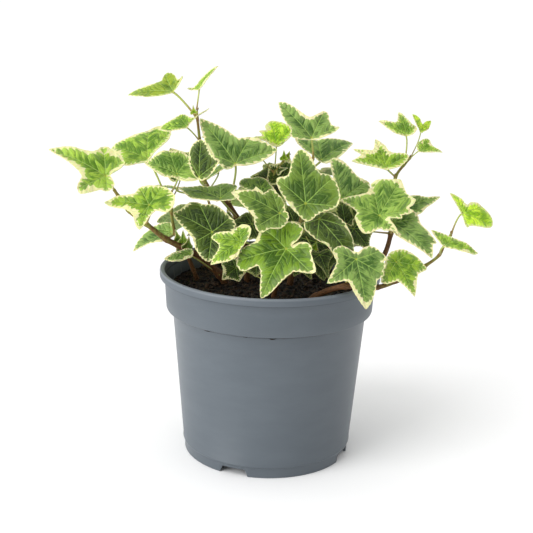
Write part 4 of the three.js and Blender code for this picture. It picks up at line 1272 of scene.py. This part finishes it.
class IVY_OT_pot(bpy.types.Operator):
    """Turns the pot from its profile and cuts the gaps in its foot and the drain holes"""
    bl_idname = "ivy.pot"
    bl_label = "Pot"

    def execute(self, context):
        settings = context.scene.ivy_pot
        wide = settings.radius / max(radius for radius, _ in POT_PROFILE)
        tall = settings.height / max(height for _, height in POT_PROFILE)
        profile = [(radius * wide, height * tall) for radius, height in POT_PROFILE]
        start_clean()
        bpy.ops.mesh.primitive_circle_add(
            vertices=POT_SIDES, radius=profile[0][0], fill_type="NGON", location=(0, 0, profile[0][1]))
        pot = context.object
        pot.name = "plastic_pot"
        edit(pot)
        for (radius, height), (next_radius, next_height) in zip(profile, profile[1:]):
            bpy.ops.mesh.extrude_region_move(
                TRANSFORM_OT_translate={"value": (0, 0, next_height - height)})
            bpy.ops.transform.resize(value=(next_radius / radius, next_radius / radius, 1))
        close_edit()
        cutters = [self.foot_gap(i, wide, tall) for i in range(FOOT_GAP["count"])]
        cutters += [self.drain_hole(i, wide, tall) for i in range(DRAIN_HOLE["count"])]
        apply_modifier(pot, "BOOLEAN", object=joined(cutters), operation="DIFFERENCE", solver="EXACT")
        discard(cutters[0])
        apply_modifier(pot, "BEVEL", width=settings.edge, segments=2, limit_method="ANGLE",
            angle_limit=math.radians(50))
        smooth(pot, 42)
        pot.data.materials.append(plastic_material(settings))
        pick(pot)
        bpy.ops.object.transform_apply(location=True, rotation=True, scale=True)
        settle(pot, "pot")
        return {"FINISHED"}

    def foot_gap(self, number, wide, tall):
        """A wedge, narrower at its top, where the foot ring has a gap for water."""
        start_clean()
        bpy.ops.mesh.primitive_cube_add(size=1)
        gap = bpy.context.object
        turn = math.radians(FOOT_GAP["first"] + 360 / FOOT_GAP["count"] * number)
        for corner in gap.data.vertices:
            x, y, z = corner.co
            across = x * (FOOT_GAP["top"] if z > 0 else FOOT_GAP["bottom"]) * wide
            out = (y * FOOT_GAP["depth"] - FOOT_GAP["radius"]) * wide
            height = (FOOT_GAP["height"] if z > 0 else FOOT_GAP["below"]) * tall
            corner.co = Matrix.Rotation(turn, 3, "Z") @ Vector((across, out, height))
        return gap

    def drain_hole(self, number, wide, tall):
        """A round pin where the floor has a hole."""
        start_clean()
        turn = 2 * math.pi / DRAIN_HOLE["count"] * (number + 0.5)
        circle = DRAIN_HOLE["circle"] * wide
        place = (circle * math.cos(turn), circle * math.sin(turn), DRAIN_HOLE["middle"] * tall)
        bpy.ops.mesh.primitive_cylinder_add(
            vertices=24, radius=DRAIN_HOLE["radius"] * wide, depth=DRAIN_HOLE["depth"] * tall,
            location=place)
        return bpy.context.object


class IVY_OT_soil(bpy.types.Operator):
    """Shapes the soil: a lumpy top that fills the pot, and sides down to its floor"""
    bl_idname = "ivy.soil"
    bl_label = "Soil"

    def execute(self, context):
        settings = context.scene.ivy_soil
        rounded = 0.985
        inner_rings = 56
        shares = [1, 0.997, 0.99] + [rounded * (1 - i / inner_rings) for i in range(inner_rings)]
        soil = model_disc(SOIL_SIDES, shares)
        soil.name = "peat"
        flat = places_of(soil)
        reach = np.hypot(flat[:, 0], flat[:, 1])
        places = flat * SOIL_RADIUS
        places[:, 2] = soil_height(reach) + soil_lumps(places, settings.lump / MM)
        places[:, 2] -= SOIL_ROUNDING * np.clip((reach - rounded) / (1 - rounded), 0, 1) ** 2
        put_places(soil, places)
        edit(soil)
        bpy.ops.mesh.select_all(action="DESELECT")
        bpy.ops.mesh.select_mode(type="EDGE")
        bpy.ops.mesh.select_non_manifold()
        for (radius, height), (next_radius, next_height) in zip(SOIL_SIDE, SOIL_SIDE[1:]):
            drop = (next_height - height) * MM
            bpy.ops.mesh.extrude_region_move(TRANSFORM_OT_translate={"value": (0, 0, drop)})
            bpy.ops.transform.resize(value=(next_radius / radius, next_radius / radius, 1))
        bpy.ops.mesh.edge_face_add()
        close_edit()
        soil.data.materials.append(soil_material(settings))
        put_attribute(soil, "pale", np.zeros(len(soil.data.vertices)))
        smooth(soil, 50)
        settle(soil, "soil")
        return {"FINISHED"}


def soil_height(reach):
    """The soil's height without its lumps: crowned a little, a bit lower at the pot's wall."""
    return SOIL_TOP + SOIL_CROWN * np.cos(np.clip(reach, 0, 1) * math.pi / 2) ** 0.7


def soil_lumps(places, height):
    """The lumps of the soil's surface."""
    flat = places * (1, 1, 0)
    lumps = waves(flat, 0.11, 4.2) * 0.6 + waves(flat, 0.27, 9.1) * 0.45
    return height * (lumps + np.abs(waves(flat, 0.6, 1.7)) * 0.45 - 0.25)


class IVY_OT_crumbs(bpy.types.Operator):
    """Strews loose crumbs and fibres over the soil"""
    bl_idname = "ivy.crumbs"
    bl_label = "Crumbs"

    def execute(self, context):
        settings = context.scene.ivy_soil
        crumbs = self.crumbs(settings)
        fibres = self.fibres(settings)
        pieces = joined([crumbs, fibres])
        pieces.data.materials.append(bpy.data.materials["peat"])
        settle(pieces)
        return {"FINISHED"}

    def strewn(self, rng, number, reach, settings):
        """Places on the soil, more of them near the pot's wall than a random pick gives."""
        turn = rng.uniform(0, 2 * math.pi, number)
        out = reach * rng.uniform(0, 1, number) ** 0.45
        places = np.column_stack([out * np.cos(turn), out * np.sin(turn), np.zeros(number)])
        places[:, 2] = soil_height(out / SOIL_RADIUS) + soil_lumps(places, settings.lump / MM)
        return places

    def crumbs(self, settings):
        """Many lumpy balls, each of its own size and shape."""
        start_clean()
        bpy.ops.mesh.primitive_ico_sphere_add(subdivisions=1, radius=1)
        crumbs = bpy.context.object
        crumbs.name = "peat_crumbs"
        each = len(crumbs.data.vertices)
        apply_modifier(crumbs, "ARRAY", count=settings.crumbs, use_relative_offset=False)
        rng = np.random.default_rng(7)
        ball = places_of(crumbs).reshape(settings.crumbs, each, 3)
        spots = self.strewn(rng, settings.crumbs, SOIL_RADIUS - 1.2, settings)
        sizes = settings.crumb / MM * rng.lognormal(0, 0.42, settings.crumbs)
        stretch = rng.uniform(0.6, 1.35, (settings.crumbs, 1, 3))
        jitter = rng.uniform(0.72, 1.25, (settings.crumbs, each, 1))
        shapes = ball * jitter * stretch * sizes[:, None, None]
        turns = [Matrix.Rotation(angle, 3, Vector(axis)) for angle, axis in zip(
            rng.uniform(0, FULL_TURN, settings.crumbs), rng.normal(size=(settings.crumbs, 3)))]
        shapes = np.stack([shape @ np.array(turn) for shape, turn in zip(shapes, turns)])
        shapes += (spots + np.column_stack([spots[:, :2] * 0, sizes * 0.25]))[:, None, :]
        put_places(crumbs, shapes.reshape(-1, 3))
        put_attribute(crumbs, "pale", np.repeat(rng.beta(0.7, 2.4, settings.crumbs), each))
        smooth(crumbs, 60)
        return crumbs

    def fibres(self, settings):
        """Thin bowed fibres that lie on the soil."""
        fibre = model_tube(5, 7)
        fibre.name = "peat_fibres"
        each = len(fibre.data.vertices)
        apply_modifier(fibre, "ARRAY", count=settings.fibres, use_relative_offset=False)
        rng = np.random.default_rng(11)
        tube = places_of(fibre).reshape(settings.fibres, each, 3)
        spots = self.strewn(rng, settings.fibres, SOIL_RADIUS - 4, settings)
        shapes = []
        for shape, spot in zip(tube, spots):
            run = shape[:, 2] / 6 - 0.5
            radius = rng.uniform(0.08, 0.24) * (1.1 - np.abs(run))
            span = rng.uniform(2.5, 8)
            bow = rng.uniform(-1.6, 1.6) * (run**2)
            lift = rng.uniform(0, 1.4) * (run**2) * 4 + 0.3 + rng.uniform(-0.6, 0.8) * run
            local = np.column_stack([run * span, shape[:, 0] * radius + bow, shape[:, 1] * radius + lift])
            turn = np.array(Matrix.Rotation(rng.uniform(0, FULL_TURN), 3, "Z"))
            shapes.append(local @ turn + spot)
        put_places(fibre, np.concatenate(shapes))
        put_attribute(fibre, "pale", np.repeat(rng.uniform(0.2, 0.9, settings.fibres), each))
        smooth(fibre, 60)
        return fibre


class IVY_OT_vines(bpy.types.Operator):
    """Lays the vines along their nodes, with a bud by each leaf"""
    bl_idname = "ivy.vines"
    bl_label = "Vines"

    def execute(self, context):
        settings = context.scene.ivy_vine
        tube = model_tube(14, VINE_RINGS)
        bud = self.bud_template()
        material = bark_material(settings)
        for name, growth in VINES.items():
            seed = seed_of(name)
            line, runs, total = catmull_rom(growth["nodes"], VINE_RINGS)
            run = np.linspace(0, total, VINE_RINGS)
            start, end = growth["radii"]
            radii = start + (end - start) * run / total
            radii *= 1 - settings.taper * np.clip((run / total - 0.6) / 0.4, 0, 1)
            for node in runs[1:]:
                radii *= 1 + settings.swelling * np.exp(-(((run - node) / 1.5) ** 2))
            sway = np.column_stack([waves(line, 0.07, seed + k) for k in (0.3, 5.1, 9.9)])
            sway *= settings.crook / MM * np.sin(math.pi * run / total)[:, None]
            ages = np.clip(1.12 - run / total * 1.05, 0, 1)
            vine_piece = copy_of(tube, "stem_" + name)
            lay_tube(vine_piece, line + sway, radii, ages, seed)
            pieces = [vine_piece]
            for growing in growth["leaves"]:
                pieces.append(self.bud(bud, growth, growing, name))
            stem = joined(pieces)
            smooth(stem, 60)
            stem.data.materials.append(material)
            settle(stem, "vine_" + name)
        discard(tube, bud)
        return {"FINISHED"}

    def bud_template(self):
        """A pointed bud along the z axis, 1 long."""
        start_clean()
        bpy.ops.mesh.primitive_uv_sphere_add(segments=8, ring_count=7, radius=0.5)
        bud = bpy.context.object
        shape = places_of(bud)
        height = shape[:, 2] + 0.5
        slim = 1 - 0.55 * np.clip(height, 0, 1) ** 1.5
        shape[:, 0] *= slim
        shape[:, 1] *= slim
        shape[:, 2] = height
        bud.data.vertices.foreach_set("co", shape.astype(np.float32).ravel())
        return bud

    def bud(self, template, growth, growing, name):
        """A bud between a stalk and its vine."""
        joint, radius = joint_of(growth, growing["node"])
        nodes = growth["nodes"]
        following = min(growing["node"] + 1, len(nodes) - 1)
        along = unit(np.subtract(nodes[following], nodes[following - 1]))
        away = unit(np.subtract(growing["seat"], joint))
        side = unit(away - along * (away @ along) + 1e-6)
        point = unit(along * 0.9 + side * 0.6)
        piece = copy_of(template, name + "_bud")
        shape = places_of(piece)
        first = unit(np.cross(point, side))
        second = np.cross(point, first)
        wide = 1.15 * min(1, radius)
        local = shape[:, :1] * first * wide + shape[:, 1:2] * second * wide + shape[:, 2:] * point * 1.9
        put_places(piece, joint + side * radius * 0.8 + local)
        put_attribute(piece, "grain", shape * 1.3)
        put_attribute(piece, "age", np.full(len(shape), 0.32))
        return piece


def joint_of(growth, node):
    """Where on a vine a leaf grows, and the vine's radius there."""
    start, end = growth["radii"]
    nodes = growth["nodes"]
    return np.array(nodes[node], dtype=float), start + (end - start) * node / (len(nodes) - 1)


def leaf_materials(settings):
    """The materials of a leaf: its upper face, its underside and its stalk."""
    makers = {
        "blade": lambda: blade_material(settings, under=False),
        "blade_under": lambda: blade_material(settings, under=True),
        "stalk": lambda: stalk_material(settings),
    }
    for name, make in makers.items():
        if name not in bpy.data.materials:
            make()
    return [bpy.data.materials[name] for name in makers]


class IVY_OT_leaves(bpy.types.Operator):
    """Grows every leaf that the frame has"""
    bl_idname = "ivy.leaves"
    bl_label = "Leaves"

    def execute(self, context):
        settings = context.scene.ivy_leaf
        templates = (model_disc(SPOKES, RINGS), model_tube(8, STALK_RINGS))
        materials = leaf_materials(settings)
        for name, growth in VINES.items():
            for number, growing in enumerate(growth["leaves"], 1):
                joint, radius = joint_of(growth, growing["node"])
                node = f"leaf_{name}_{number}"
                piece = grow_leaf("ivy_" + node, growing, joint, radius, templates, materials, settings)
                settle(piece, node)
        discard(*templates)
        return {"FINISHED"}


class IVY_OT_inner_leaves(bpy.types.Operator):
    """Fills the plant with the small and shaded leaves between the others"""
    bl_idname = "ivy.inner_leaves"
    bl_label = "Inner leaves"

    def execute(self, context):
        settings = context.scene.ivy_leaf
        templates = (model_disc(INNER_SPOKES, INNER_RINGS), model_tube(6, STALK_RINGS))
        materials = leaf_materials(settings)
        for name, leaves in INNER_LEAVES.items():
            pieces = []
            for number, growing in enumerate(leaves, 1):
                joint, radius = joint_of(VINES[name], growing["node"])
                piece_name = f"inner_{name}_{number}"
                pieces.append(grow_leaf(piece_name, growing, joint, radius, templates, materials, settings))
            inner = joined(pieces)
            inner.name = "inner_leaves_" + name
            settle(inner)
        discard(*templates)
        return {"FINISHED"}


class IVY_OT_stage(bpy.types.Operator):
    """Sets up the floor, the lights and the camera"""
    bl_idname = "ivy.stage"
    bl_label = "Stage"

    def execute(self, context):
        settings = context.scene.ivy_stage
        start_clean()
        bpy.ops.mesh.primitive_plane_add(size=FLOOR_SIZE)
        floor = context.object
        floor.name = "floor"
        g = new_material("floor", Roughness=0.9, Specular_IOR_Level=0.1)
        floor.data.materials.append(g.set(Base_Color=settings.floor))
        self.lights(context.scene, settings)
        self.camera(context.scene)
        context.scene.view_settings.view_transform = "Standard"
        return {"FINISHED"}

    def lights(self, scene, settings):
        """A sky that is dimmer from the camera's side, a key light from above and a soft fill light."""
        g = Graph(bpy.data.worlds.new("sky"), "Background")
        _, y, _ = g.parts(g.add("TexCoord"))
        front = g.step(y, 0.15, -0.85)
        strength = settings.sky * (1 - front * (1 - settings.front))
        scene.world = g.set(Color=(1, 1, 1, 1), Strength=strength)
        bpy.ops.object.light_add(type="SUN")
        sun = bpy.context.object
        sun.data.energy = settings.sun
        sun.data.angle = math.radians(SUN_ANGLE)
        aim(sun, Vector(SUN_PLACE), Vector())
        bpy.ops.object.light_add(type="AREA")
        fill = bpy.context.object
        fill.data.energy = settings.fill
        fill.data.size = FILL_SIZE
        aim(fill, Vector(FILL_PLACE), Vector(FILL_TARGET))

    def camera(self, scene):
        """A camera at the view's place, turned a little about its own axis."""
        right, up, back = view_axes()
        place = (np.array(VIEW["target"]) + back * VIEW["distance"]) * MM
        bpy.ops.object.camera_add()
        camera = bpy.context.object
        axes = Matrix((right, up, back)).transposed()
        camera.matrix_world = Matrix.Translation(place) @ axes.to_4x4()
        camera.data.lens = camera.data.sensor_width * VIEW["focal"] / VIEW["width"]
        camera.data.clip_end = FAR_CLIP
        scene.camera = camera


def aim(light, place, target):
    """Puts a light somewhere and points it at a target."""
    light.location = place
    light.rotation_euler = (place - target).to_track_quat("Z", "Y").to_euler()


class IVY_PT_panel(bpy.types.Panel):
    """The steps that build the ivy"""
    bl_label = "Potted ivy"
    bl_idname = "IVY_PT_panel"
    bl_space_type = "VIEW_3D"
    bl_region_type = "UI"
    bl_category = "Ivy"

    def draw(self, context):
        for group in SETTINGS:
            box = self.layout.box()
            settings = getattr(context.scene, group)
            for name in settings.bl_rna.properties.keys():
                if name not in ("rna_type", "name"):
                    box.prop(settings, name)
        for step in STEPS:
            self.layout.operator(step.bl_idname)


STEPS = [IVY_OT_pot, IVY_OT_soil, IVY_OT_crumbs, IVY_OT_vines, IVY_OT_leaves, IVY_OT_inner_leaves,
    IVY_OT_stage]


def register():
    """Adds the settings, the steps and the panel to Blender."""
    for group, settings in SETTINGS.items():
        bpy.utils.register_class(settings)
        setattr(bpy.types.Scene, group, bpy.props.PointerProperty(type=settings))
    for step in [*STEPS, IVY_PT_panel]:
        bpy.utils.register_class(step)


def unregister():
    """Takes them away again, in reverse."""
    for step in [IVY_PT_panel, *reversed(STEPS)]:
        bpy.utils.unregister_class(step)
    for group, settings in reversed(SETTINGS.items()):
        delattr(bpy.types.Scene, group)
        bpy.utils.unregister_class(settings)


def main():
    """Builds the ivy step by step."""
    register()
    bpy.ops.ivy.pot()
    bpy.ops.ivy.soil()
    bpy.ops.ivy.crumbs()
    bpy.ops.ivy.vines()
    bpy.ops.ivy.leaves()
    bpy.ops.ivy.inner_leaves()
    bpy.ops.ivy.stage()
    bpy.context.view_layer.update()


if __name__ == "__main__":
    main()
